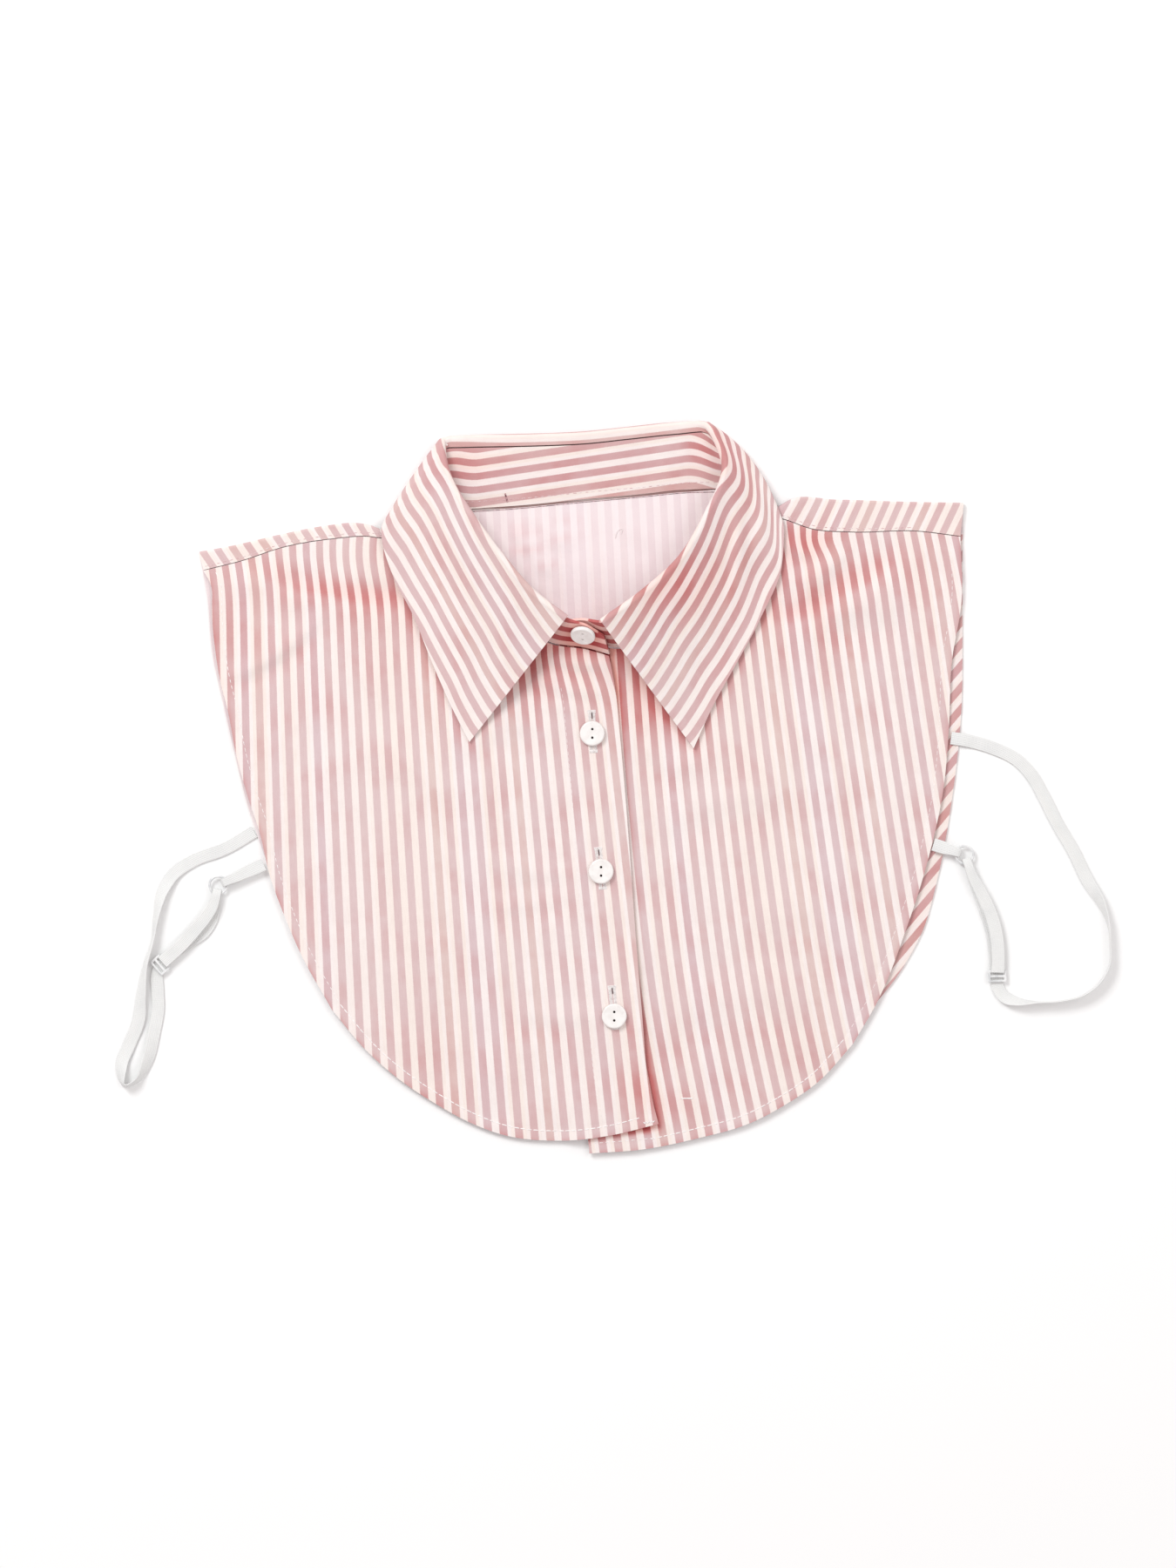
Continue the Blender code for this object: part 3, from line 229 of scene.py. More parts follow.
RIGHT_STRAP_OUT = (
    (173.6, 22.8, 1.9, 0, 6.0), (180.6, 21.8, 1.4, 0, 6.0), (186.0, 20.5, 0.6, 0, 6.0),
    (194.8, 17.6, 0.6, 0, 6.0), (204.6, 12.6, 0.6, 0, 6.0), (211.6, 5.3, 0.6, 0, 6.0),
    (217.0, -4.1, 0.6, 0, 6.0), (223.6, -17.2, 0.6, 0, 6.0), (231.2, -30.2, 0.6, 0, 6.0),
    (238.2, -44.7, 0.9, 10, 6.0), (244.0, -54.5, 2.4, 50, 6.0), (247.6, -64.4, 3.4, 82, 6.0),
    (248.5, -74.2, 3.5, 90, 6.0), (248.1, -84.0, 3.5, 90, 6.0), (244.0, -91.8, 3.5, 90, 6.0),
    (236.2, -98.0, 3.5, 90, 6.0), (225.5, -100.9, 3.5, 90, 6.0), (213.6, -101.4, 3.5, 84, 6.0),
    (204.6, -101.0, 2.8, 50, 6.0), (198.8, -98.8, 1.0, 10, 6.0), (195.8, -94.4, 0.6, 0, 6.0),
    (195.2, -88.0, 0.6, 0, 6.0), (194.6, -80.0, 0.6, 0, 6.0), (193.4, -70.0, 0.6, 0, 6.0),
    (189.2, -56.2, 0.6, 0, 6.0), (184.4, -44.4, 0.6, 0, 5.0),
)
RIGHT_STRAP_BACK = (
    (184.0, -42.8, 4.1, 0, 4.8), (187.6, -49.6, 3.9, 0, 5.6), (191.6, -58.0, 3.6, 0, 6.0),
    (195.0, -70.0, 3.4, 0, 6.0), (195.8, -80.0, 3.4, 0, 6.0), (195.6, -87.4, 3.4, 0, 6.0),
)
LEFT_TAB_OUT = ((-149.6, -36.6, 3.6, 0, 6.0), (-155.0, -39.0, 3.5, 0, 6.0), (-161.6, -42.0, 3.9, 0, 5.0))
LEFT_TAB_BACK = ((-161.8, -42.1, 0.6, 0, 5.2),)
RIGHT_TAB_OUT = ((165.2, -27.2, 3.6, 0, 6.0), (169.6, -28.6, 3.5, 0, 6.0), (173.2, -29.8, 3.9, 0, 4.8))
RIGHT_TAB_BACK = ((172.6, -29.6, 0.6, 0, 5.0),)

# How an elastic turns through a ring: distance from the ring's middle, and height.
RING_TURN = ((3.8, 0.65), (2.5, 1.1), (2.0, 2.4), (2.5, 3.7), (3.8, 4.2))
WIDTH_IN_RING = 4.0

# Rings: X, Y. Sliders: name, X, Y, turn in degrees about Z.
LEFT_RING = (-171.0, -46.3)
RIGHT_RING = (180.0, -32.0)
SLIDERS = (("slider_left", -198.4, -84.0, -50), ("slider_right", 195.4, -89.2, 2))

# Elastics: name, way out, ring, heading into the ring in degrees, below the ring first, way back.
ELASTICS = (
    ("strap_left", LEFT_STRAP_OUT, LEFT_RING, 80, True, LEFT_STRAP_BACK),
    ("strap_right", RIGHT_STRAP_OUT, RIGHT_RING, 110, True, RIGHT_STRAP_BACK),
    ("tab_left", LEFT_TAB_OUT, LEFT_RING, 205, False, LEFT_TAB_BACK),
    ("tab_right", RIGHT_TAB_OUT, RIGHT_RING, -18, False, RIGHT_TAB_BACK),
)

# How the stripes lie on flat cloth. Columns: middle x, y; stripe count there; pitch; turn of the way
# across the stripes, in degrees; how much closer they come for each 100 mm up, as a share.
LEFT_STRIPES = (-70.0, -30.0, -0.3, 6.75, 4.0, 0.05)
RIGHT_STRIPES = (100.0, -20.0, 0.25, 6.65, 7.8, 0.05)
INSIDE_STRIPES = (0.0, 120.0, 3.05, 6.55, 3.0, 0.0)
BEHIND_NECK_STRIPES = (0.0, 150.0, 0.5, 6.25, 98.5, 0.0)
STAND_STRIPE_OFFSET = 0.3
STAND_PITCH = 6.8

# Stripes of the fall. Columns: way along the roll from its left end; stripe count at the roll; pitch.
# The corners by the shoulders lie at 85 and 268, where the cloth is drawn round and the stripes part.
FALL_STRIPES = (
    (0.0, -1.2, 7.1),
    (25.0, 0.0, 6.9),
    (60.0, 0.7, 6.9),
    (85.0, 1.4, 7.5),
    (102.0, 0.6, 6.8),
    (135.0, 0.85, 6.8),
    (210.0, 0.85, 6.8),
    (250.0, 0.6, 6.8),
    (268.0, 1.8, 7.7),
    (285.0, 1.5, 7.9),
    (303.0, 1.2, 7.65),
    (325.0, 0.3, 7.3),
    (353.0, -1.5, 6.9),
)
SOFTER_OVER = (-5.0, -2.5, 0.0, 2.5, 5.0)

# Stripes where the back turns over the shoulders, left and right: slant, pitch, offset in stripes.
SHOULDER_STRIPES = ((0.62, 6.55, 0.41), (-0.45, 6.46, 0.774))

# Where the stripes were pulled aside. Columns: middle x, y; reach in X, in Y; shift in stripes.
LEFT_PULLS = (
    (4.0, 64.0, 22.0, 16.0, 0.75),
    (-100.0, 108.0, 30.0, 16.0, 0.42),
    (-165.0, 112.0, 35.0, 14.0, 0.38),
    (-10.0, 120.0, 110.0, 45.0, -0.40),
    (-185.0, -80.0, 40.0, 120.0, 0.25),
)
RIGHT_PULLS = (
    (150.0, 100.0, 60.0, 30.0, -0.12),
    (112.0, 116.0, 10.0, 7.0, 0.40),
    (96.0, -190.0, 400.0, 70.0, -1.15),
    (20.0, 90.0, 50.0, 60.0, -0.35),
    (185.0, 90.0, 50.0, 60.0, -0.25),
)

# Painted shade: where the pink is darkened to stand for shade under the collar, beside edges and in creases. Columns:
# middle x, y; reach in X, in Y; depth.
FRONT_SHADE_SPOTS = (
    (4.0, 69.0, 30.0, 9.0, 0.95),
    (2.0, 52.0, 30.0, 12.0, 0.25),
    (34.0, 42.0, 26.0, 26.0, 0.70),
    (-22.0, 54.0, 14.0, 20.0, 0.55),
    (-75.0, 70.0, 34.0, 34.0, 0.25),
    (-150.0, 96.0, 50.0, 26.0, 0.25),
    (105.0, 88.0, 30.0, 34.0, 0.45),
    (108.0, 116.0, 12.0, 9.0, 0.60),
    (160.0, 104.0, 40.0, 24.0, 0.25),
    (-168.0, 40.0, 18.0, 50.0, 0.20),
    (-60.0, -140.0, 60.0, 30.0, 0.15),
    (80.0, -130.0, 60.0, 34.0, 0.15),
    (-122.0, 90.0, 26.0, 7.0, 0.30),
    (-98.0, 84.0, 12.0, 10.0, 0.30),
    (-150.0, 66.0, 22.0, 7.0, 0.18),
    (29.0, -142.0, 9.0, 14.0, 0.50),
    (44.0, -150.0, 13.0, 9.0, 0.45),
    (24.0, -112.0, 8.0, 8.0, 0.25),
    (20.0, -47.0, 10.0, 5.0, 0.20),
)
BACK_SHADE_SPOTS = (
    (-26.0, 121.0, 9.0, 2.4, 1.20),
    (-12.0, 117.0, 10.0, 1.7, 1.00),
    (-24.0, 111.0, 11.0, 1.7, 1.10),
    (-6.0, 124.0, 8.0, 1.8, 0.80),
    (-18.0, 104.5, 8.0, 1.5, 1.00),
    (-30.0, 116.0, 4.0, 12.0, 0.50),
)
STAND_SHADE_SPOTS = (
    (0.0, 70.0, 20.0, 14.0, 1.4),
    (62.0, 160.0, 14.0, 14.0, 0.45),
    (-56.0, 152.0, 16.0, 12.0, 0.40),
    (0.0, 150.0, 80.0, 12.0, 0.25),
)
COLLAR_SHADE_SPOTS = (
    (30.0, 94.0, 26.0, 14.0, 0.36),
    (52.0, 92.0, 34.0, 26.0, 0.35),
    (68.0, 128.0, 16.0, 30.0, 0.30),
    (62.0, 160.0, 14.0, 14.0, 0.45),
    (-56.0, 152.0, 16.0, 12.0, 0.40),
    (0.0, 150.0, 80.0, 12.0, 0.25),
)

# Creases. Columns: start x, y; end x, y; height; half width; bend to the right of the way.
LEFT_FOLDS = (
    (-155.0, 104.0, -87.0, 89.0, -1.4, 6.0, 3.0),
    (-165.0, 52.0, -124.0, 79.0, 1.1, 4.0, 3.0),
    (-120.0, 86.0, -96.0, 40.0, 1.0, 9.0, 4.0),
    (-60.0, 20.0, -10.0, 30.0, 0.8, 7.0, -4.0),
    (-40.0, -36.0, 4.0, -40.0, 0.7, 5.0, 2.0),
    (-44.0, -56.0, -2.0, -48.0, 0.6, 5.0, 2.0),
    (-36.0, -104.0, 10.0, -108.0, 0.6, 5.0, 2.0),
    (-24.0, 52.0, 12.0, 44.0, 0.8, 3.4, 2.0),
    (-22.0, 38.0, 10.0, 30.0, 0.6, 3.2, -2.0),
    (-18.0, 62.0, 12.0, 58.0, 0.8, 3.0, 2.0),
    (26.0, -86.0, 30.0, -120.0, 0.8, 3.5, 2.0),
)
RIGHT_FOLDS = (
    (89.0, 79.0, 148.0, 111.0, -1.3, 6.0, 5.0),
    (98.0, 96.0, 126.0, 112.0, 1.0, 4.0, 2.0),
    (96.0, 116.0, 108.0, 108.0, 1.0, 3.0, 1.0),
    (112.0, 92.0, 150.0, 84.0, 1.0, 8.0, 5.0),
    (40.0, -16.0, 92.0, -4.0, 0.8, 8.0, -4.0),
    (40.0, -110.0, 100.0, -96.0, 0.8, 10.0, -4.0),
    (30.0, 20.0, 56.0, 10.0, 0.7, 6.0, 3.0),
)
LEAF_FOLDS = (
    (84.0, 140.0, 90.0, 98.0, 0.8, 3.2, 2.0),
    (72.0, 128.0, 70.0, 88.0, 0.6, 3.0, -2.0),
    (60.0, 96.0, 48.0, 60.0, 0.5, 5.0, 2.0),
    (-76.0, 112.0, -66.0, 74.0, 0.4, 6.0, 2.0),
)
BACK_FOLDS = (
    (-32.0, 125.0, -18.0, 103.0, 1.3, 3.0, 1.5),
    (-24.0, 127.0, -12.0, 112.0, 1.0, 2.4, -1.0),
    (-34.0, 117.0, 2.0, 119.5, 0.9, 2.2, 1.0),
    (-30.0, 110.0, -4.0, 112.5, 0.8, 2.0, -1.0),
    (-26.0, 103.0, -10.0, 105.0, 0.7, 1.8, 1.0),
    (20.0, 122.0, 40.0, 112.0, 0.8, 3.0, 1.0),
)

# How deep the shade beside the overlap is: along it and near the neck, its reach, and where it deepens.
OVERLAP_SHADE = (0.55, 1.0, 2.2)
OVERLAP_SHADE_Y = (26.0, 56.0)
OVERLAP_SHADE_LOW = (-166.0, -160.0)

# The shade on the right front below the left front's hem: its line, its depth and its reach.
CORNER_SHADE = ((3.9, 33.6), (-165.6, -159.7), 0.9, 2.4)

# The back's turned hem, seen from the front: how far in it shows, its slant, and the depth of the painted shade on its
# pink.
BACK_HEM_SHOWS = 16.0
BACK_HEM_SLANT = 0.85
BACK_HEM_SHADE = 0.45

# Where the two flat holes and the slit of each front button lie: top and bottom of the buttonhole.
BUTTONHOLES = (
    ("button_top", 4.5, 35.2, 5.5, 16.6),
    ("button_middle", 7.6, -29.2, 9.8, -47.6),
    ("button_low", 14.0, -94.2, 16.0, -113.4),
)

# Tacks of white thread: a zigzag at the overlap's corner and a bar at the right front's hem.
ZIGZAG_TACK = ((28.9, -158.0), (34.2, -157.2), 0.9, 9)
BAR_TACK = ((46.4, -146.6), (52.2, -146.6))

# The loose end of thread inside the neck, as X and Y.
LOOSE_THREAD = ((15.6, 116.8), (17.2, 120.6), (19.0, 121.4), (18.4, 118.6))
THREAD_TICK = ((-36.1, 137.8), (-35.0, 133.9))
LEAF_SHADE = 4.5


def ramp(value, start, end):
    """A soft step from 0 at start to 1 at end."""
    share = np.clip((np.asarray(value, float) - start) / (end - start), 0.0, 1.0)
    return share * share * (3.0 - 2.0 * share)


def curve_through(rows, cells, measured=3, level=False):
    """A smooth curve through the rows, with so many cells in each span. A level one never overshoots."""
    rows = np.asarray(rows, float)
    spans = np.linalg.norm(np.diff(rows[:, :measured], axis=0), axis=1)
    slopes = np.diff(rows, axis=0) / spans[:, None]
    tangents = np.empty_like(rows)
    tangents[0] = slopes[0]
    tangents[-1] = slopes[-1]
    before = spans[:-1, None]
    after = spans[1:, None]
    tangents[1:-1] = (slopes[:-1] * after + slopes[1:] * before) / (before + after)
    if level:
        steady = slopes[:-1] * slopes[1:] > 0
        spread = np.where(steady, before * slopes[1:] + after * slopes[:-1], 1.0)
        mean = slopes[:-1] * slopes[1:] * (before + after) / spread
        tangents[1:-1] = np.where(steady, mean, 0.0)
    points = [rows[0]]
    for start, span in enumerate(spans):
        for step in range(1, cells[start] + 1):
            t = step / cells[start]
            points.append(rows[start] * (2 * t**3 - 3 * t**2 + 1)
                          + tangents[start] * span * (t**3 - 2 * t**2 + t)
                          + rows[start + 1] * (3 * t**2 - 2 * t**3)
                          + tangents[start + 1] * span * (t**3 - t**2))
    return np.array(points)


def evenly(rows, count, measured=2):
    """Points at even distances along the smooth curve through the rows."""
    fine = curve_through(rows, [CURVE_STEPS] * (len(rows) - 1), measured)
    steps = np.linalg.norm(np.diff(fine[:, :measured], axis=0), axis=1)
    along = np.concatenate([[0.0], np.cumsum(steps)])
    wanted = np.linspace(0.0, along[-1], count)
    return np.column_stack([np.interp(wanted, along, fine[:, k]) for k in range(fine.shape[1])])


def patch(bottom, top, left, right):
    """A grid of plan points between four outlines, with i across and j upwards."""
    columns, rows = len(bottom), len(left)
    u = np.linspace(0.0, 1.0, columns)[:, None, None]
    v = np.linspace(0.0, 1.0, rows)[None, :, None]
    across = bottom[:, None, :] * (1 - v) + top[:, None, :] * v
    upwards = left[None, :, :] * (1 - u) + right[None, :, :] * u
    corners = (bottom[0] * (1 - u) * (1 - v) + bottom[-1] * u * (1 - v)
               + top[0] * (1 - u) * v + top[-1] * u * v)
    return across + upwards - corners


def ridges(table, x, y):
    """Height of the soft ridges at plan points."""
    height = np.zeros_like(x)
    for x0, y0, x1, y1, tall, wide in table:
        length = math.hypot(x1 - x0, y1 - y0)
        along = ((x - x0) * (x1 - x0) + (y - y0) * (y1 - y0)) / length
        aside = ((x - x0) * (y1 - y0) - (y - y0) * (x1 - x0)) / length
        fade = np.exp(-np.square((along / length - 0.5) / RIDGE_FADE))
        height = height + tall * fade * np.exp(-np.square(aside / wide))
    return height


def distance_to(line, x, y):
    """Distance in plan from points to a broken line."""
    nearest = np.full(np.shape(x), 1e9)
    for (x0, y0), (x1, y1) in zip(line[:-1], line[1:]):
        dx, dy = x1 - x0, y1 - y0
        share = np.clip(((x - x0) * dx + (y - y0) * dy) / (dx * dx + dy * dy), 0.0, 1.0)
        nearest = np.minimum(nearest, np.hypot(x - x0 - share * dx, y - y0 - share * dy))
    return nearest


def back_height(x, y):
    """Middle of the back panel's wall: flat, and lifted over the fall's hidden part."""
    low, high = COLLAR_LIFT_Y
    near, far = COLLAR_LIFT_X
    under_collar = ramp(y, low, high) * (1 - ramp(abs(x), near, far))
    return PANEL_CLOTH / 2 + COLLAR_LIFT * under_collar


def collar_rows(fine=1):
    """The collar's sections as arrays: rolls, seams, edges, drops and insets."""
    table = np.array([row[1:] for row in COLLAR_SECTIONS])
    cells = [row[0] * fine for row in COLLAR_SECTIONS[:-1]]
    return curve_through(table, cells, measured=9, level=True)


def stand_rows(fine=1):
    """The stand's sections, with its buttoned ends: rolls, seams and insets."""
    middle = [row[:7] + (row[11],) for row in COLLAR_SECTIONS]
    middle[-1] = (2,) + middle[-1][1:]
    table = list(STAND_TOP_END) + middle + list(STAND_UNDER_END)
    cells = [row[0] * fine for row in table[:-1]]
    return curve_through(np.array([row[1:] for row in table]), cells, measured=6, level=True)


def neck_line(rows, start, end):
    """The neck seam in plan, moved out by the seam gap, for the panels' edges."""
    seam = rows[start:end, 3:5]
    way = np.gradient(seam, axis=0)
    way = way / np.linalg.norm(way, axis=1)[:, None]
    outward = np.column_stack([-way[:, 1], way[:, 0]])
    return seam + outward * SEAM_GAP


def front_height(x, y, seam, table):
    """Middle of a front panel's wall: on the back panel, rising to the neck seam."""
    rise = NECK_RISE * np.exp(-np.square(distance_to(seam, x, y) / NECK_RISE_REACH))
    return back_height(x, y) + LAYER_STEP + rise + ridges(table, x, y)


def seam_parts(stand):
    """The neck seam in plan along each front, from the shoulder to the centre front."""
    start = STAND_TOP_END[0][0] + STAND_TOP_END[1][0]
    per_row = [row[0] for row in COLLAR_SECTIONS]
    left_last = start + sum(per_row[:4])
    right_first = start + sum(per_row[:16])
    left = neck_line(stand, 0, left_last + 1)[::-1]
    right = neck_line(stand, right_first, len(stand))
    return left, right


def placket_thickness(edge, x, y, side):
    """Wall thickness of a front: more where the placket is turned under."""
    line = np.array(sorted(edge, key=lambda place: place[1]))
    from_edge = (np.interp(y, line[:, 1], line[:, 0]) - x) * side
    turned_under = 1 - ramp(from_edge, PLACKET_WIDTH - PLACKET_BLEND, PLACKET_WIDTH + PLACKET_BLEND)
    return PANEL_CLOTH + (PLACKET_CLOTH - PANEL_CLOTH) * turned_under


def route_through(way_out, ring, heading, below_first, way_back):
    """An elastic's route out to its ring, round the ring's wire and back."""
    turn = []
    for reach, height in RING_TURN if below_first else reversed(RING_TURN):
        x = ring[0] - reach * math.cos(math.radians(heading))
        y = ring[1] - reach * math.sin(math.radians(heading))
        turn.append((x, y, height, 0, WIDTH_IN_RING))
    return way_out + tuple(turn) + way_back


def unit(vectors):
    """Vectors of length one along the last axis."""
    return vectors / np.maximum(np.linalg.norm(vectors, axis=-1, keepdims=True), 1e-9)


def wall_normals(grid):
    """Unit normals of a grid of points."""
    return unit(np.cross(np.gradient(grid, axis=0), np.gradient(grid, axis=1)))


def softly(x, y, size, seed):
    """Smooth uneven noise of about one unit at plan points, with features of about the given size."""
    flat = np.stack([np.ravel(x) / size, np.ravel(y) / size], axis=1)
    values = [noise.noise(Vector((a, b, seed * 7.3))) for a, b in flat]
    return np.reshape(values, np.shape(x))


def show(name, mesh, slot, *nodes):
    """Link a new piece, let it ride on the collar and say what it replaces."""
    piece = bpy.data.objects.new(name, mesh)
    bpy.context.scene.collection.objects.link(piece)
    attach(piece, "root")
    if nodes:
        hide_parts(*nodes)
    return piece


def build_mesh(name, points, faces, coords, materials, material_of=None, deep=None):
    """A mesh from points in millimetres, with a UV map called cloth and smooth faces."""
    used = np.unique(np.concatenate([np.asarray(face) for face in faces]))
    place = np.full(len(points), -1)
    place[used] = np.arange(len(used))
    mesh = bpy.data.meshes.new(name)
    mesh.from_pydata((points[used] * MM).tolist(), [], [[int(place[k]) for k in face] for face in faces])
    layer = mesh.uv_layers.new(name="cloth")
    corners = np.empty(len(mesh.loops), np.int32)
    mesh.loops.foreach_get("vertex_index", corners)
    layer.data.foreach_set("uv", np.asarray(coords, np.float32)[used][corners].ravel())
    # The deep attribute carries painted shade, which the cloth's shader blends into the stripes.
    if deep is not None:
        depth = mesh.attributes.new("deep", "FLOAT", "POINT")
        depth.data.foreach_set("value", np.asarray(deep, np.float32)[used])
    for material in materials:
        mesh.materials.append(material)
    if material_of is not None:
        mesh.polygons.foreach_set("material_index", np.asarray(material_of, np.int32))
    mesh.shade_smooth()
    mesh.set_sharp_from_angle(angle=math.radians(50))
    mesh.update()
    return mesh


def cloth_shell(name, grid, wall, shell, coords, materials, deep, keep=None, kinds=None, raise_by=None):
    """A thin closed shell whose outer face is the outer face of the solid's wall."""
    columns, rows = grid.shape[:2]
    normal = wall_normals(grid)
    wall = np.broadcast_to(np.asarray(wall, float), (columns, rows))[:, :, None]
    shell = np.broadcast_to(np.asarray(shell, float), (columns, rows))[:, :, None]
    top = grid + normal * wall / 2
    if raise_by is not None:
        top = top + normal * raise_by[:, :, None]
        normal = wall_normals(top)
    under = top - normal * shell
    points = np.concatenate([top.reshape(-1, 3), under.reshape(-1, 3)])
    both = np.concatenate([coords.reshape(-1, 2)] * 2)
    inside = np.ones((columns - 1, rows - 1), bool) if keep is None else keep
    i, j = np.nonzero(inside)
    corner = np.stack([i * rows + j, (i + 1) * rows + j, (i + 1) * rows + j + 1, i * rows + j + 1], axis=1)
    below = corner[:, ::-1] + columns * rows
    directed = np.concatenate([corner[:, [k, (k + 1) % 4]] for k in range(4)])
    key = directed.min(axis=1) * (columns * rows) + directed.max(axis=1)
    values, first, count = np.unique(key, return_index=True, return_counts=True)
    rim = directed[first[count == 1]]
    rim = np.column_stack([rim[:, 1], rim[:, 0], rim[:, 0] + columns * rows, rim[:, 1] + columns * rows])
    faces = np.concatenate([corner, below, rim])
    material_of = None
    if kinds is not None:
        face_kinds = kinds[i, j]
        material_of = np.concatenate([face_kinds[:, 0], face_kinds[:, 1], np.zeros(len(rim), int)])
    depths = np.tile(np.broadcast_to(deep, (columns, rows)).ravel(), 2)
    return build_mesh(name, points, faces, both, materials, material_of, depths), top, normal


def stripe_count(lay, x, y):
    """Stripe count at plan points. A whole number is the middle of a pink stripe."""
    middle_x, middle_y, count, pitch, turn, closer = lay
    across = (x - middle_x) * math.cos(math.radians(turn)) + (y - middle_y) * math.sin(math.radians(turn))
    return count + across / pitch * (1.0 + closer * (y - middle_y) / 100.0)


def spots(table, x, y):
    """Sum of soft round spots at plan points."""
    total = np.zeros_like(x)
    for middle_x, middle_y, reach_x, reach_y, amount in table:
        total = total + amount * np.exp(-np.square((x - middle_x) / reach_x) - np.square((y - middle_y) / reach_y))
    return total


def under_leaves(x, y):
    """Nearness to the leaves' edges, where they shade the fronts."""
    edges = collar_rows()[:, 6:8]
    size_of = len(edges) // 3
    nearest = np.minimum(distance_to(np.vstack([collar_rows()[:1, 0:2], edges[:size_of]]), x, y),
                         distance_to(np.vstack([edges[-size_of:], collar_rows()[-1:, 0:2]]), x, y))
    return np.exp(-np.square(nearest / LEAF_SHADE))


def pulled(count, wanted, weight):
    """The stripe count moved to the wanted one where the weight is 1, by less than a few stripes."""
    away = wanted - count
    away = away - np.round(np.sum(away * weight) / np.sum(weight))
    return count + weight * np.clip(away, -2.5, 2.5)


def folds(table, x, y):
    """Height of the uneven creases. Each has a crest and, beside it, a shallow trough."""
    height = np.zeros_like(x)
    for x0, y0, x1, y1, tall, wide, bend in table:
        length = math.hypot(x1 - x0, y1 - y0)
        share = ((x - x0) * (x1 - x0) + (y - y0) * (y1 - y0)) / length**2
        aside = ((x - x0) * (y1 - y0) - (y - y0) * (x1 - x0)) / length
        aside = aside - bend * 4.0 * share * (1.0 - share)
        fade = ramp(share, -0.25, 0.3) * (1.0 - ramp(share, 0.7, 1.25))
        crest = np.exp(-np.square(aside / wide))
        trough = np.exp(-np.square((aside - 1.5 * wide) / (1.2 * wide)))
        height = height + tall * fade * (crest - 0.45 * trough)
    return height


def hem_relief(from_edge, x, y, seed):
    """The turned hem: a little thicker, sunk at its stitch line and puckered beside it."""
    width = HEM_WIDTH
    turned = 0.22 * (1.0 - ramp(from_edge, width - 0.6, width + 0.9))
    groove = -0.22 * np.exp(-np.square((from_edge - width) / 0.7))
    pucker = softly(x, y, 5.0, seed) * 0.30 * np.exp(-np.square((from_edge - width) / 4.5))
    return turned + groove + pucker


def outline_distance(line, x, y):
    """Distance in plan to a smooth outline."""
    return distance_to(evenly(line, 60), x, y)


def tint(name, description, default):
    """A colour setting."""
    return FloatVectorProperty(name=name, description=description, subtype="COLOR", size=3, min=0.0, max=1.0,
                               default=default)


def size(name, description, default):
    """A length setting, in metres."""
    return FloatProperty(name=name, description=description, default=default, min=0.0, unit="LENGTH",
                         precision=5)


class CollarCloth(bpy.types.PropertyGroup):
    stripe_pitch: size("Stripe pitch", "From one pink stripe to the next", 0.0066)
    thread_pitch: FloatProperty(name="Thread pitch", description="Pitch of the weave in millimetres",
                                default=0.5, min=0.1, max=2.0)
    pink_share: FloatProperty(name="Pink share", description="Part of each stripe's pitch that is pink",
                              subtype="FACTOR", default=0.52, min=0.0, max=1.0)
    cloth: size("Cloth", "Thickness of the cloth with its turnings", 0.0006)
    pink: tint("Pink", "Main colour of the stripes", (0.69, 0.535, 0.535))
    mauve: tint("Mauve", "Cooler stripes", (0.66, 0.52, 0.555))
    peach: tint("Peach", "Warmer stripes", (0.74, 0.59, 0.53))
    cream: tint("Cream", "Colour between the stripes", (0.88, 0.79, 0.74))
    white: tint("White", "Whiter bands between the stripes", (0.89, 0.83, 0.82))
    # Painted shade: the next four colours are blended in where the deep attribute marks the cloth as lying in shade, in
    # folds and in gaps.
    shaded: tint("Shaded pink", "The stripes where the cloth turns from the light", (0.54, 0.16, 0.155))
    deepest: tint("Deepest pink", "The stripes in folds and gaps", (0.40, 0.045, 0.05))
    gap_shade_cream: tint("Deepest cream", "Between the stripes in folds and gaps", (0.84, 0.40, 0.34))
    shaded_cream: tint("Shaded cream", "Between the stripes in the deepest shade", (0.92, 0.60, 0.55))
    pink_deep: tint("Deep pink", "Shade in slubs and between threads", (0.62, 0.40, 0.40))
    wrong_side: tint("Wrong side", "Tone that veils the stripes on the wrong side", (0.87, 0.775, 0.80))


class CollarTrim(bpy.types.PropertyGroup):
    stitch: size("Stitch", "Length of a stitch with its gap", 0.0030)
    thread: size("Thread", "Thickness of the sewing thread", 0.00030)
    thread_white: tint("Thread", "Colour of the sewing thread", (0.93, 0.90, 0.89))
    thread_shade: tint("Thread shade", "Darker parts of the thread", (0.80, 0.74, 0.73))
    # Near-black: the tick of thread behind the neck, and also the painted shadow along the back neck seam and in the
    # buttonhole slits.
    tick_and_shadow_dark: tint("Dark thread", "Colour of the thread in the neck seam", (0.10, 0.03, 0.04))
    thread_pink: tint("Pink thread", "Colour of the darker thread", (0.62, 0.36, 0.38))
    button: tint("Button", "Colour of the buttons", (0.90, 0.87, 0.85))
    button_shade: tint("Button shade", "Deeper tone in the buttons", (0.82, 0.78, 0.76))
    hole_size: size("Hole", "Width of the holes in the buttons", 0.0012)
    elastic: tint("Elastic", "Colour of the elastics", (0.82, 0.82, 0.81))
    elastic_shade: tint("Elastic shade", "Tone between the elastic's ribs", (0.62, 0.63, 0.64))
    # Near-black: a painted shadow in the front buttons' holes and the buttonhole slits.
    hole: tint("Hole", "Thread deep in the buttons' holes", (0.05, 0.035, 0.035))
    plastic: tint("Plastic", "Colour of the rings and sliders", (0.84, 0.84, 0.84))


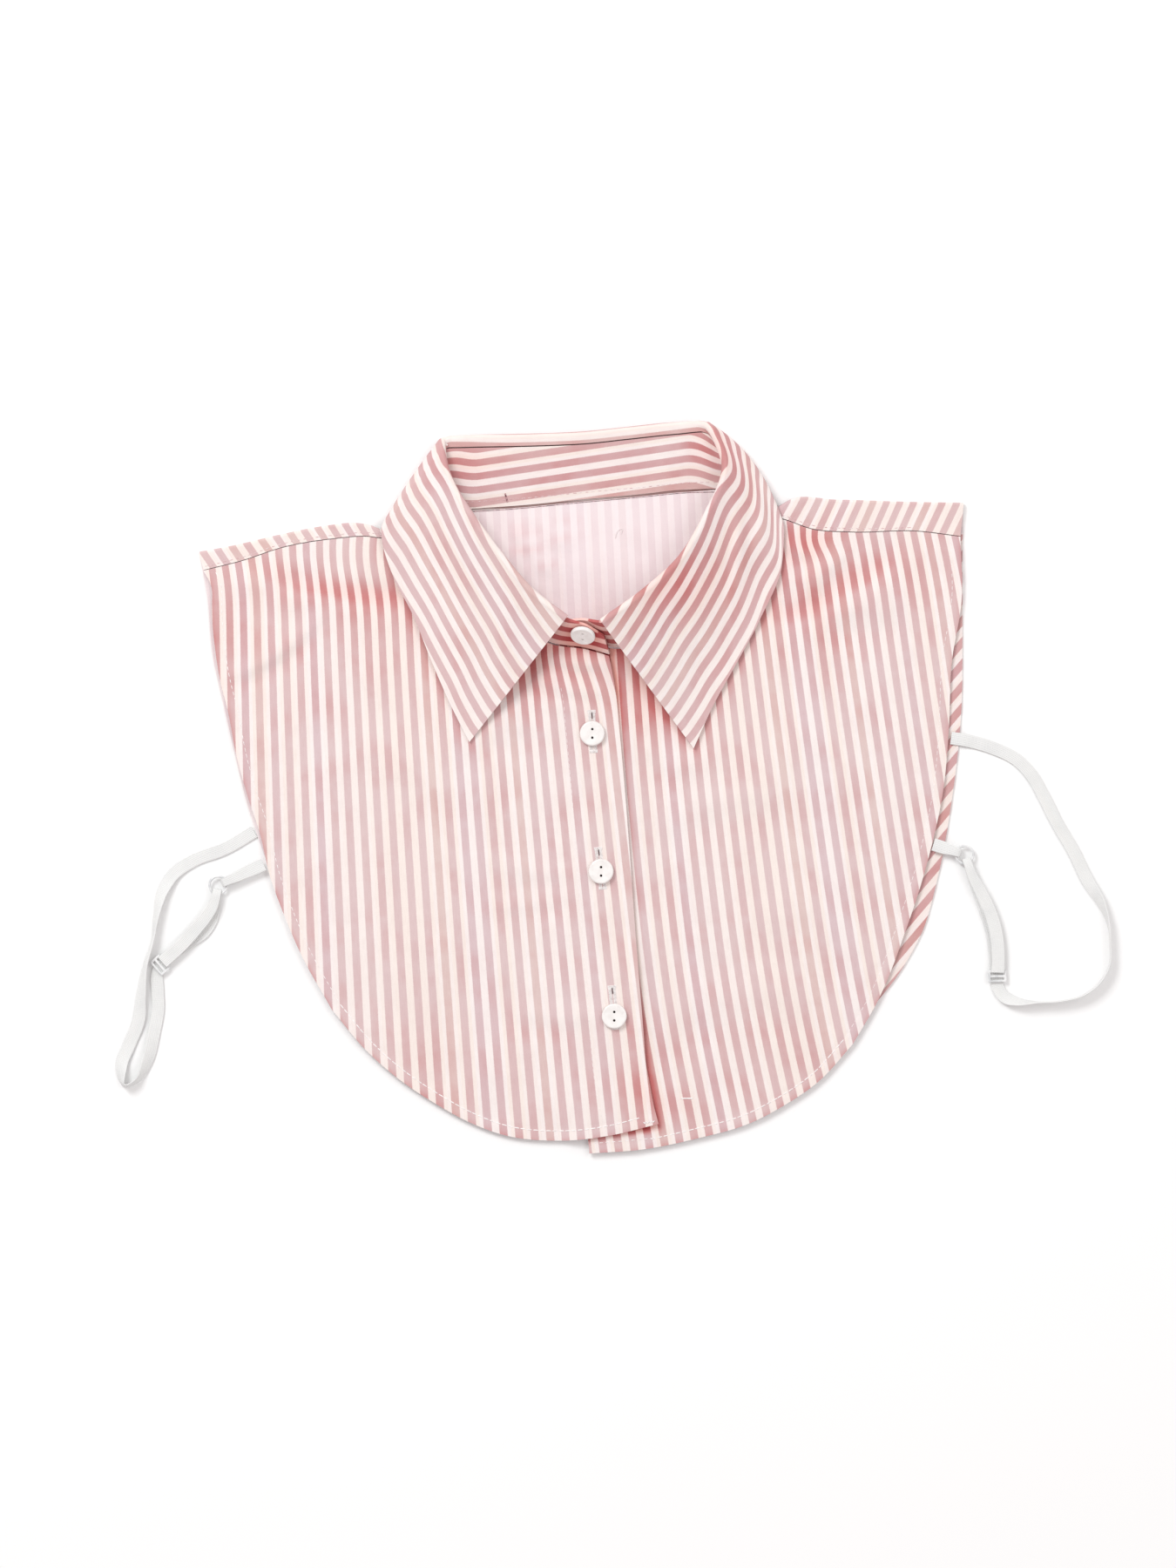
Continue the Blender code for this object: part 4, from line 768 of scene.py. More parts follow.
class CollarStage(bpy.types.PropertyGroup):
    lens: FloatProperty(name="Lens", description="Focal length in millimetres", default=100.0, min=20.0)
    sky: tint("Surroundings", "Colour of the pale surroundings", (1.0, 0.95, 0.945))
    lamp: tint("Lamps", "Colour of the lamps", (0.96, 1.0, 1.0))
    frame_height: size("Frame height", "Height of the picture on the floor", 0.738)
    floor: tint("Floor", "Colour of the floor", (0.93, 0.93, 0.93))
    key: FloatProperty(name="Key light", description="Power of the large light in watts", default=31.0, min=0.0)
    fill: FloatProperty(name="Fill", description="Strength of the pale surroundings", default=0.71, min=0.0)


class Finish:
    """A material being put together from nodes."""

    def __init__(self, name):
        self.material = bpy.data.materials.new(name)
        self.material.use_nodes = True
        self.tree = self.material.node_tree
        self.shader = self.tree.nodes["Principled BSDF"]

    def node(self, kind, **values):
        """Add a node, with its settings by name."""
        made = self.tree.nodes.new(kind)
        for key, value in values.items():
            setattr(made, key, value)
        return made

    def link(self, source, target):
        self.tree.links.new(source, target)

    def math(self, operation, first, second=0.0, third=0.0):
        """A Math node. Each value is a number or another node's output."""
        made = self.node("ShaderNodeMath", operation=operation)
        for socket, value in zip(made.inputs, (first, second, third)):
            self.put(socket, value)
        return made.outputs[0]

    def put(self, socket, value):
        """Set a socket to a number or colour, or link it."""
        if isinstance(value, bpy.types.NodeSocket):
            self.link(value, socket)
        else:
            socket.default_value = value

    def between(self, value, low, high, new_low=0.0, new_high=1.0, smooth=True):
        """Map a value from one range to another, and stop at its ends."""
        made = self.node("ShaderNodeMapRange", interpolation_type="SMOOTHSTEP" if smooth else "LINEAR")
        for socket, number in zip(made.inputs, (value, low, high, new_low, new_high)):
            self.put(socket, number)
        return made.outputs[0]

    def mix(self, share, first, second, blend="MIX"):
        """Mix two colours."""
        made = self.node("ShaderNodeMix", data_type="RGBA", blend_type=blend)
        self.put(made.inputs[0], share)
        self.put(made.inputs[6], first)
        self.put(made.inputs[7], second)
        return made.outputs[2]

    def noise(self, place, scale, detail=2.0, roughness=0.5):
        """Noise from 0 to 1 at a place."""
        made = self.node("ShaderNodeTexNoise")
        self.link(place, made.inputs["Vector"])
        made.inputs["Scale"].default_value = scale
        made.inputs["Detail"].default_value = detail
        made.inputs["Roughness"].default_value = roughness
        return made.outputs["Fac"]

    def bump(self, height, strength, distance, below=None):
        """Bump from a height, on top of another bump."""
        made = self.node("ShaderNodeBump")
        made.inputs["Strength"].default_value = strength
        made.inputs["Distance"].default_value = distance
        self.link(height, made.inputs["Height"])
        if below is not None:
            self.link(below, made.inputs["Normal"])
        return made.outputs["Normal"]

    def surface(self, roughness, sheen=0.0, specular=0.5, coat=0.0):
        """Even values of the surface, set on the shader itself."""
        self.shader.inputs["Roughness"].default_value = roughness
        self.shader.inputs["Specular IOR Level"].default_value = specular
        self.shader.inputs["Sheen Weight"].default_value = sheen
        self.shader.inputs["Sheen Roughness"].default_value = 0.5
        self.shader.inputs["Coat Weight"].default_value = coat
        self.shader.inputs["Coat Roughness"].default_value = 0.15
        self.shader.inputs["Metallic"].default_value = 0.0


def colour(values):
    """A shader colour from three numbers."""
    return (values[0], values[1], values[2], 1.0)


def shirt_cotton(name, look, paleness=0.0, sheen=0.12, specular=0.25):
    """Yarn-dyed cotton: soft-edged stripes, each a little different, in a fine plain weave, with painted shade
    darkening them where the deep attribute is set.
    """
    finish = Finish(name)
    uv = finish.node("ShaderNodeUVMap", uv_map="cloth").outputs["UV"]
    split = finish.node("ShaderNodeSeparateXYZ")
    finish.link(uv, split.inputs[0])
    across, along = split.outputs[0], split.outputs[1]

    fuzz = finish.math("MULTIPLY", finish.math("SUBTRACT", finish.noise(uv, 14.0, 2.0), 0.5), 0.05)
    count = finish.math("ADD", across, fuzz)
    shifted = finish.math("ADD", count, 0.5)
    number = finish.math("FLOOR", shifted)
    from_pink = finish.math("ABSOLUTE", finish.math("SUBTRACT", finish.math("SUBTRACT", shifted, number), 0.5))
    half = look.pink_share / 2
    cream_band = finish.between(from_pink, half - 0.035, half + 0.035)

    one = finish.node("ShaderNodeTexWhiteNoise", noise_dimensions="1D")
    finish.link(number, one.inputs["W"])
    two = finish.node("ShaderNodeTexWhiteNoise", noise_dimensions="1D")
    finish.link(finish.math("ADD", number, 37.0), two.inputs["W"])
    pink = finish.mix(finish.between(one.outputs[0], 0.35, 1.0, 0.0, 0.55), colour(look.pink), colour(look.mauve))
    pink = finish.mix(finish.between(two.outputs[0], 0.5, 1.0, 0.0, 0.55), pink, colour(look.peach))
    # Painted shade: the deep attribute darkens and reddens the pink and the cream where the pieces lie in shade. Random
    # patches add to it on the pink.
    deep = finish.node("ShaderNodeAttribute", attribute_name="deep").outputs["Fac"]
    patchy = finish.between(finish.noise(uv, 0.30, 3.0), 0.4, 0.75, -0.05, 0.22)
    pink = finish.mix(finish.math("ADD", deep, patchy), pink, colour(look.shaded))
    # Painted shade: past 1.0 the deep attribute blends in the darkest shade of folds and gaps.
    gap = finish.between(deep, 1.0, 1.7)
    pink = finish.mix(gap, pink, colour(look.deepest))
    cream = finish.mix(finish.between(one.outputs[0], 0.0, 1.0, 0.0, 0.8), colour(look.cream), colour(look.white))
    cream = finish.mix(finish.between(deep, 0.3, 1.4, 0.0, 0.95), cream, colour(look.shaded_cream))
    cream = finish.mix(gap, cream, colour(look.gap_shade_cream))
    cloth = finish.mix(cream_band, pink, cream)

    streaks = finish.node("ShaderNodeMapping")
    finish.link(uv, streaks.inputs["Vector"])
    streaks.inputs["Scale"].default_value = (9.0, 0.7, 1.0)
    slub = finish.noise(streaks.outputs[0], 1.6, 3.0, 0.6)
    cloth = finish.mix(finish.between(slub, 0.35, 0.75, 0.0, 0.10), cloth, colour(look.pink_deep), "MULTIPLY")
    blotch = finish.noise(uv, 0.35, 3.0)
    cloth = finish.mix(finish.between(blotch, 0.35, 0.7, 0.0, 0.07), cloth, colour(look.pink_deep), "MULTIPLY")

    turns = look.stripe_pitch * 1000.0 / look.thread_pitch * 2 * math.pi
    warp = finish.math("SINE", finish.math("MULTIPLY", across, turns))
    weft = finish.math("SINE", finish.math("MULTIPLY", along, turns))
    weave = finish.math("MULTIPLY", warp, weft)
    threads = finish.between(weave, -1.0, 1.0, 0.0, 0.06, smooth=False)
    cloth = finish.mix(threads, cloth, colour(look.pink_deep), "MULTIPLY")
    if paleness:
        cloth = finish.mix(paleness, cloth, colour(look.wrong_side))
    finish.link(cloth, finish.shader.inputs["Base Color"])

    crumple = finish.noise(uv, 1.3, 4.0, 0.55)
    normal = finish.bump(crumple, 0.35, 0.0006)
    normal = finish.bump(weave, 0.25, 0.00006, normal)
    finish.link(normal, finish.shader.inputs["Normal"])
    finish.surface(0.78, sheen=sheen, specular=specular)
    return finish.material


def woven_elastic(name, trim):
    """White knitted elastic with ribs along it and fine rows across."""
    finish = Finish(name)
    uv = finish.node("ShaderNodeUVMap", uv_map="cloth").outputs["UV"]
    split = finish.node("ShaderNodeSeparateXYZ")
    finish.link(uv, split.inputs[0])
    ribs = finish.math("SINE", finish.math("MULTIPLY", split.outputs[1], 2 * math.pi / 0.8))
    rows = finish.math("SINE", finish.math("MULTIPLY", split.outputs[0], 2 * math.pi / 0.7))
    knit = finish.math("ADD", ribs, finish.math("MULTIPLY", rows, 0.5))
    tone = finish.between(knit, -1.5, 1.5, 0.16, 0.0, smooth=False)
    base = finish.mix(tone, colour(trim.elastic), colour(trim.elastic_shade))
    patchy = finish.noise(uv, 0.08, 3.0)
    base = finish.mix(finish.between(patchy, 0.4, 0.7, 0.0, 0.2), base, colour(trim.elastic_shade))
    finish.link(base, finish.shader.inputs["Base Color"])
    finish.link(finish.bump(knit, 0.5, 0.00012), finish.shader.inputs["Normal"])
    finish.surface(0.7, sheen=0.1, specular=0.3)
    return finish.material


def plain_finish(name, main, second, roughness, scale=400.0, bumpy=0.1, coat=0.0, specular=0.5):
    """Thread, button resin or moulded plastic: one colour with a little variation and fine relief."""
    finish = Finish(name)
    place = finish.node("ShaderNodeTexCoord").outputs["Object"]
    patches = finish.noise(place, scale, 3.0)
    base = finish.mix(finish.between(patches, 0.35, 0.7), colour(main), colour(second))
    finish.link(base, finish.shader.inputs["Base Color"])
    fine = finish.noise(place, scale * 6.0, 2.0)
    finish.link(finish.bump(fine, bumpy, 0.00005), finish.shader.inputs["Normal"])
    finish.surface(roughness, coat=coat, specular=specular)
    return finish.material


class Surface:
    """The outer faces of finished pieces, to lay thread and trim on."""

    def __init__(self, *names):
        points, faces = [], []
        for name in names:
            mesh = bpy.data.objects[name].data
            start = len(points)
            points.extend(Vector(vertex.co) / MM for vertex in mesh.vertices)
            faces.extend([start + k for k in face.vertices] for face in mesh.polygons)
        self.tree = BVHTree.FromPolygons(points, faces)

    def at(self, x, y):
        """The highest point above a plan point, and the surface's direction there."""
        place, normal, _, _ = self.tree.ray_cast(Vector((x, y, 100.0)), Vector((0.0, 0.0, -1.0)))
        if place is None:
            return None
        return np.array(place), np.array(normal)


class Bundle:
    """Many small shapes that become one piece."""

    def __init__(self):
        self.points, self.faces, self.coords = [], [], []

    def tube(self, path, sides, widths, heights, up):
        """A closed tube along a path, with an oval section that is wide along the surface."""
        path = np.asarray(path, float)
        up = unit(np.asarray(up, float))
        way = unit(np.gradient(path, axis=0))
        aside = unit(np.cross(way, up))
        start = len(self.points)
        along = np.concatenate([[0.0], np.cumsum(np.linalg.norm(np.diff(path, axis=0), axis=1))])
        for k, centre in enumerate(path):
            for side in range(sides):
                turn = 2 * math.pi * side / sides
                offset = aside[k] * math.cos(turn) * widths[k] / 2 + up[k] * math.sin(turn) * heights[k] / 2
                self.points.append(centre + offset)
                self.coords.append((along[k], side / sides))
        for k in range(len(path) - 1):
            for side in range(sides):
                after = (side + 1) % sides
                low, high = start + k * sides, start + (k + 1) * sides
                self.faces.append([low + side, low + after, high + after, high + side])
        self.faces.append([start + side for side in reversed(range(sides))])
        self.faces.append([start + (len(path) - 1) * sides + side for side in range(sides)])

    def piece(self, name, slot, material):
        """Turn the shapes into one piece that rides on the collar."""
        mesh = build_mesh(name, np.array(self.points), self.faces, self.coords, [material])
        return show(name, mesh, slot)


def walk(line, spacing, start=0.0):
    """Points at a spacing along a plan line, as an array."""
    line = np.asarray(line, float)
    steps = np.linalg.norm(np.diff(line, axis=0), axis=1)
    along = np.concatenate([[0.0], np.cumsum(steps)])
    wanted = np.arange(start, along[-1], spacing)
    return np.column_stack([np.interp(wanted, along, line[:, k]) for k in range(line.shape[1])])


def stitches(bundle, surface, line, trim, share=0.74, seed=1, thick=1.0):
    """A row of stitches along a plan line. Each dips into the cloth at its ends."""
    pitch = trim.stitch / MM
    thread = trim.thread / MM * thick
    line = np.asarray(line, float)
    steps = np.linalg.norm(np.diff(line, axis=0), axis=1)
    along = np.concatenate([[0.0], np.cumsum(steps)])
    count = int(along[-1] / pitch)
    for number in range(count):
        uneven = noise.noise(Vector((number * 0.9, seed * 3.1, 0.0)))
        first = (number + 0.13 + 0.08 * uneven) * pitch
        spots = first + np.linspace(0.0, share + 0.1 * uneven, 5) * pitch
        places, ups = [], []
        for spot in spots:
            hit = surface.at(np.interp(spot, along, line[:, 0]), np.interp(spot, along, line[:, 1]))
            if hit is None:
                break
            places.append(hit[0])
            ups.append(hit[1])
        if len(places) < 5:
            continue
        ups = np.array(ups)
        dip = np.array([-0.45, 0.10, 0.26, 0.10, -0.45])[:, None] * thread
        swell = np.array([0.55, 0.95, 1.05, 0.95, 0.55])
        bundle.tube(np.array(places) + ups * dip, 6, thread * 1.25 * swell, thread * swell, ups)


def inset(line, distance):
    """A plan line moved to its left by a distance. The line may be rough: it is smoothed first."""
    fine = evenly(line, 160)
    way = unit(np.gradient(fine, axis=0))
    return fine + np.column_stack([-way[:, 1], way[:, 0]]) * distance


def inset_row(top, distance):
    """Points at a distance inside a shell's last row, measured on its surface."""
    found = []
    for column in top:
        steps = np.linalg.norm(np.diff(column[::-1], axis=0), axis=1)
        along = np.concatenate([[0.0], np.cumsum(steps)])
        found.append([np.interp(distance, along, column[::-1][:, k]) for k in range(3)])
    return np.array(found)


def front_grid(left_side):
    """Middle points of a front's wall, with its placket and its turned edges, and its wall thickness."""
    left_neck, right_neck = seam_parts(stand_rows())
    shoulder_count = SHOULDER_CELLS * FRONT_FINE + 1
    columns = FRONT_CELLS * FRONT_FINE + 1
    rows = FRONT_CELLS * FRONT_FINE + 1
    if left_side:
        neck = evenly(left_neck, columns - shoulder_count + 1)
        top = np.vstack([evenly(LEFT_SHOULDER_SEAM, shoulder_count)[:-1], neck])
        left = evenly(LEFT_SIDE, rows)
        right = evenly(OVERLAP_EDGE[:-1] + (tuple(neck[-1]),), rows)
        top[0] = left[-1]
        plan = patch(evenly(LEFT_HEM, columns), top, left, right)
        x, y = plan[:, :, 0], plan[:, :, 1]
        under = np.array(UNDER_EDGE)
        under_x = np.interp(y, under[:, 1], under[:, 0])
        z = front_height(x, y, left_neck, LEFT_RIDGES)
        z = z + OVERLAP_LIFT * ramp(x - under_x, OVERLAP_START, OVERLAP_END)
        return np.dstack([x, y, z]), placket_thickness(OVERLAP_EDGE, x, y, 1)
    neck = evenly(right_neck[::-1], columns - shoulder_count + 1)
    top = np.vstack([neck[:-1], evenly(RIGHT_SHOULDER_SEAM, shoulder_count)])
    right = evenly(RIGHT_SIDE, rows)
    left = evenly(UNDER_EDGE[:-1] + (tuple(neck[0]),), rows)
    top[-1] = right[-1]
    plan = patch(evenly(RIGHT_HEM, columns), top, left, right)
    x, y = plan[:, :, 0], plan[:, :, 1]
    overlap = np.array(OVERLAP_EDGE)
    clear = ramp(x - np.interp(y, overlap[:, 1], overlap[:, 0]), *CLEAR_OF_OVERLAP)
    z = front_height(x, y, right_neck, ()) + ridges(RIGHT_RIDGES, x, y) * clear
    return np.dstack([x, y, z]), placket_thickness(UNDER_EDGE, x, y, -1)


class COLLAR_OT_fronts(bpy.types.Operator):
    """Lay the two fronts, with their plackets, hems and creases"""
    bl_idname = "collar.fronts"
    bl_label = "Fronts"

    def execute(self, context):
        look = context.scene.collar_cloth
        pitch = look.stripe_pitch / MM
        cotton = shirt_cotton("front_cotton", look)
        wrong = shirt_cotton("front_wrong_side", look, 0.35)
        for left_side in (True, False):
            grid, wall = front_grid(left_side)
            x, y = grid[:, :, 0], grid[:, :, 1]
            if left_side:
                name, edges, edge, seed = "front_left", (LEFT_HEM, LEFT_SIDE), OVERLAP_EDGE, 1
                stripes, pulls, creases = LEFT_STRIPES, LEFT_PULLS, LEFT_FOLDS
            else:
                name, edges, edge, seed = "front_right", (RIGHT_HEM, RIGHT_SIDE), UNDER_EDGE, 2
                stripes, pulls, creases = RIGHT_STRIPES, RIGHT_PULLS, RIGHT_FOLDS
            relief = folds(creases, x, y)
            relief = relief + 0.38 * softly(x, y, 46.0, seed) + 0.10 * softly(x, y, 17.0, seed + 10)
            from_hem = np.minimum(*[outline_distance(line, x, y) for line in edges])
            relief = relief + hem_relief(from_hem, x, y, seed + 20)
            from_edge = outline_distance(edge[:-1], x, y)
            line = np.exp(-np.square((from_edge - PLACKET_WIDTH) / 0.8))
            near = np.exp(-np.square((from_edge - PLACKET_WIDTH) / 6.0))
            relief = relief - 0.16 * line + 0.22 * near * softly(x, y, 8.0, seed + 30)
            shell = look.cloth / MM + (wall - PANEL_CLOTH)
            count = stripe_count(stripes, x, y) + spots(pulls, x, y)
            coords = np.dstack([count, y / pitch])
            # Painted shade: the deep attribute darkens the pink in the shade spots, under the leaves' edges, along the
            # hems and in the creases' troughs.
            deep = 0.04 + spots(FRONT_SHADE_SPOTS, x, y) + 0.4 * under_leaves(x, y)
            deep = deep + 0.3 * np.exp(-np.square(from_hem / 1.4)) + 0.3 * np.clip(-folds(creases, x, y), 0.0, 1.0)
            if not left_side:
                # Painted shade beside the overlap's edge and below the left front's hem.
                edge_at = np.array(OVERLAP_EDGE)
                past = np.maximum(x - np.interp(y, edge_at[:, 1], edge_at[:, 0]), 0.0)
                shade = OVERLAP_SHADE[0] + OVERLAP_SHADE[1] * ramp(y, *OVERLAP_SHADE_Y)
                deep = deep + shade * np.exp(-np.square(past / OVERLAP_SHADE[2])) * ramp(y, *OVERLAP_SHADE_LOW)
                below = (y - np.interp(x, CORNER_SHADE[0], CORNER_SHADE[1])) / CORNER_SHADE[3]
                deep = deep + CORNER_SHADE[2] * np.exp(-np.square(below)) * (1.0 - ramp(x, 30.0, 38.0))
            kinds = np.zeros((grid.shape[0] - 1, grid.shape[1] - 1, 2), int)
            kinds[:, :, 1] = 1
            mesh, top, _ = cloth_shell(name + "_cloth", grid, wall, shell, coords, [cotton, wrong], deep,
                                       kinds=kinds, raise_by=relief)
            piece = show(name + "_cloth", mesh, "cloth", name)
        return {"FINISHED"}


class COLLAR_OT_back(bpy.types.Operator):
    """Lay the back panel, which turns over at the shoulders"""
    bl_idname = "collar.back"
    bl_label = "Back"

    def execute(self, context):
        look = context.scene.collar_cloth
        pitch = look.stripe_pitch / MM
        left_neck, right_neck = seam_parts(stand_rows())
        shoulder_cells, neck_cells, rows = 9 * BACK_FINE, 10 * BACK_FINE, 15 * BACK_FINE + 1
        left_fold = evenly(LEFT_SHOULDER_FOLD, shoulder_cells + 1)
        right_fold = evenly(RIGHT_SHOULDER_FOLD, shoulder_cells + 1)
        neck = evenly(BACK_NECK, neck_cells + 1)
        left_end = evenly(LEFT_SHOULDER_SEAM, shoulder_cells + 1)
        right_end = evenly(RIGHT_SHOULDER_SEAM, shoulder_cells + 1)
        top = np.vstack([left_fold[:-1], neck, right_fold[1:]])
        seam = np.vstack([left_end[:-1], neck, right_end[1:]])
        columns = len(top)
        on_shoulder = np.ones(columns, bool)
        on_shoulder[shoulder_cells + 1:shoulder_cells + neck_cells] = False
        seam[shoulder_cells] = left_end[-1]
        seam[shoulder_cells + neck_cells] = right_end[0]
        above = np.where(np.arange(columns) < columns / 2,
                         front_height(seam[:, 0], seam[:, 1], left_neck, LEFT_RIDGES),
                         front_height(seam[:, 0], seam[:, 1], right_neck, RIGHT_RIDGES))
        below = back_height(top[:, 0], top[:, 1])
        radius = np.where(on_shoulder, (above - below) / 2, 0.0)
        base_top = top.copy()
        base_top[:, 1] -= np.where(on_shoulder, radius + PANEL_CLOTH / 2, 0.0)
        share = np.linspace(0, 1, rows)[:, None]
        left = evenly(BACK_LEFT_SIDE, rows)
        right = evenly(BACK_RIGHT_SIDE, rows)
        left = left - (left[-1] - base_top[0]) * share
        right = right - (right[-1] - base_top[-1]) * share
        plan = patch(evenly(BACK_HEM, columns), base_top, left, right)
        x, y = plan[:, :, 0], plan[:, :, 1]
        grid = np.dstack([x, y, back_height(x, y)])

        angles = np.radians(np.arange(15.0, 181.0, 15.0))
        shares = np.linspace(0.2, 1.0, 5)
        turned = np.repeat(grid[:, -1:, :], len(angles) + len(shares), axis=1)
        for j, turn in enumerate(angles):
            turned[:, j, 1] = base_top[:, 1] + radius * math.sin(turn)
            turned[:, j, 2] = below + radius * (1 - math.cos(turn))
        reach = np.minimum(seam[:, 1] + SHOULDER_SEAM_GAP, base_top[:, 1] - SHORTEST_TURN)
        for j, part in enumerate(shares):
            turned[:, len(angles) + j, 0] = grid[:, -1, 0] + (seam[:, 0] - grid[:, -1, 0]) * part
            turned[:, len(angles) + j, 1] = base_top[:, 1] + (reach - base_top[:, 1]) * part
            turned[:, len(angles) + j, 2] = above
        for i in np.nonzero(~on_shoulder)[0]:
            for j in range(turned.shape[1]):
                turned[i, j] = grid[i, -1] + np.array([0.0, 0.1 * (j + 1), 0.0])
        whole = np.concatenate([grid, turned], axis=1)
        keep = np.ones((columns - 1, whole.shape[1] - 1), bool)
        keep[shoulder_cells:shoulder_cells + neck_cells, rows - 1:] = False

        x, y = whole[:, :, 0], whole[:, :, 1]
        across = stripe_count(INSIDE_STRIPES, x, y)
        strip = np.arange(whole.shape[1]) >= rows
        above_seam = y - seam[:, 1:2]
        for side, (slant, apart, offset) in zip((x < 0, x >= 0), SHOULDER_STRIPES):
            across = np.where(side & strip[None, :], (x + slant * above_seam) / apart + offset, across)
        coords = np.dstack([across, y / pitch])
        kinds = np.zeros((columns - 1, whole.shape[1] - 1, 2), int)
        kinds[:, :rows - 1, 0] = 1
        neck_line_y = np.interp(x, neck[:, 0], neck[:, 1])
        in_neck = np.exp(-np.square((neck_line_y - y - 24.0) / 26.0)) * np.exp(-np.square(x / 55.0))
        relief = (folds(BACK_FOLDS, x, y) + 0.5 * in_neck * softly(x, y, 16.0, 5)) * (~strip[None, :])
        cotton = shirt_cotton("back_cotton", look)
        wrong = shirt_cotton("back_wrong_side", look, 0.7)
        # Painted shade on the turned shoulder strips and in the creases inside the neck.
        deep = np.where(strip[None, :], 0.15, 0.0) + spots(BACK_SHADE_SPOTS, x, y)
        from_side = distance_to(BACK_RIGHT_SIDE, x, y)
        turned_up = (from_side < BACK_HEM_SHOWS) & ~strip[None, :] & (y < 120.0)
        slanted = (x - BACK_HEM_SLANT * y) / math.hypot(1.0, BACK_HEM_SLANT) / pitch
        coords[:, :, 0] = np.where(turned_up, slanted, coords[:, :, 0])
        # Painted shade on the turned hem.
        deep = np.where(turned_up, BACK_HEM_SHADE, deep)
        cell_turned = turned_up[:-1, :-1] & turned_up[1:, 1:]
        kinds[:, :, 0] = np.where(cell_turned, 0, kinds[:, :, 0])
        mesh, _, _ = cloth_shell("back_cloth", whole, PANEL_CLOTH, PANEL_CLOTH, coords, [cotton, wrong], deep,
                                 keep=keep, kinds=kinds, raise_by=relief)
        piece = show("back_cloth", mesh, "cloth", "back_panel")
        return {"FINISHED"}


APEX_ROW = 10


class COLLAR_OT_collar(bpy.types.Operator):
    """Shape the stand, and the fall that rolls over it"""
    bl_idname = "collar.collar"
    bl_label = "Stand and fall"

    def execute(self, context):
        look = context.scene.collar_cloth
        pitch = look.stripe_pitch / MM
        cotton = shirt_cotton("collar_cotton", look)
        upright = shirt_cotton("stand_cotton", look, sheen=0.0, specular=0.05)
        stand = stand_rows(COLLAR_FINE)
        roll, seam, inset_by = stand[:, 0:3], stand[:, 3:6], stand[:, 6:7]
        up = unit(roll - seam)
        top = roll - up * (FALL_CLOTH / 2 + inset_by)
        shares = np.linspace(0.0, 1.0, 17)
        grid = np.stack([seam + (top - seam) * share for share in shares], axis=1)
        grid = grid + wall_normals(grid) * self.ripple(grid, shares)[:, :, None]
        coords = self.cloth_coords(grid)
        coords = np.dstack([coords[:, :, 0] / STAND_PITCH + STAND_STRIPE_OFFSET, coords[:, :, 1] / pitch])
        x, y = grid[:, :, 0], grid[:, :, 1]
        behind = (1.0 - ramp(abs(x), 48.0, 66.0)) * ramp(y, 118.0, 130.0)
        coords[:, :, 0] = pulled(coords[:, :, 0], stripe_count(BEHIND_NECK_STRIPES, x, y), behind)
        # Painted shade over the whole stand, deepest by the neck button and at the shoulders.
        deep = 0.2 + spots(STAND_SHADE_SPOTS, x, y)
        mesh, _, _ = cloth_shell("stand_cloth", grid, STAND_CLOTH, STAND_CLOTH, coords, [upright], deep)
        piece = show("stand_cloth", mesh, "cloth", "collar_stand")

        rows = collar_rows(COLLAR_FINE)
        roll, seam, edge = rows[:, 0:3], rows[:, 3:6], rows[:, 6:9]
        drop, inset_by, bow = rows[:, 9:10], rows[:, 10:11], rows[:, 11:12]
        up = unit(roll - seam)
        out = unit(np.cross(up, np.gradient(roll + seam, axis=0)))
        apex = roll - up * FALL_CLOTH / 2
        sections = [apex - up * (inset_by - 2 * GAP) * share - up * ROLL_RADIUS * (1 - share)
                    for share in (1.0, 0.75, 0.5, 0.25)]
        sections[0] = apex - up * (inset_by - 2 * GAP)
        centre = apex - up * ROLL_RADIUS + out * ROLL_RADIUS
        for angle in np.radians(np.arange(0.0, 181.0, 15.0)):
            sections.append(centre - out * ROLL_RADIUS * math.cos(angle) + up * ROLL_RADIUS * math.sin(angle))
        start = sections[-1]
        across = (edge - start)[:, :2]
        across = unit(np.column_stack([-across[:, 1], across[:, 0]]))
        on_top = np.clip((4.0 - drop[:, 0]) / 2.0, 0.0, 1.0)
        for share in np.linspace(0.0, 1.0, 41)[1:]:
            point = start + (edge - start) * share
            point[:, :2] += across * bow * 4 * share * (1 - share)
            point[:, 2] = edge[:, 2] + (start[:, 2] - edge[:, 2]) * (1 - share) ** drop[:, 0]
            point[:, 2] += on_top * math.sin(math.pi * share) * ridges(LEAF_RIDGES, point[:, 0], point[:, 1])
            point[:, 2] += on_top * math.sin(math.pi * min(share * 1.6, 1.0) / 2) * folds(
                LEAF_FOLDS, point[:, 0], point[:, 1])
            sections.append(point)
        grid = np.stack(sections, axis=1)
        coords = self.cloth_coords(grid, from_row=APEX_ROW)
        way, table = coords[:, 0, 1], np.array(FALL_STRIPES)
        count, apart = [np.mean([np.interp(way + aside, table[:, 0], table[:, column]) for aside in SOFTER_OVER], axis=0)
                        for column in (1, 2)]
        coords = np.dstack([coords[:, :, 0] / apart[:, None] + count[:, None], coords[:, :, 1] / pitch])
        # Painted shade over the whole fall, deeper on the right leaf and at the shoulders.
        deep = 0.17 + spots(COLLAR_SHADE_SPOTS, grid[:, :, 0], grid[:, :, 1])
        mesh, top, normal = cloth_shell("fall_cloth", grid, FALL_CLOTH, FALL_CLOTH, coords, [cotton], deep,
                                        raise_by=self.edge_relief(grid))
        piece = show("fall_cloth", mesh, "cloth", "collar_fall")
        return {"FINISHED"}

    def ripple(self, grid, shares):
        """A slight unevenness of the stand, none at its seam."""
        return 0.25 * softly(grid[:, :, 0] + grid[:, :, 2], grid[:, :, 1], 22.0, 7) * shares[None, :]

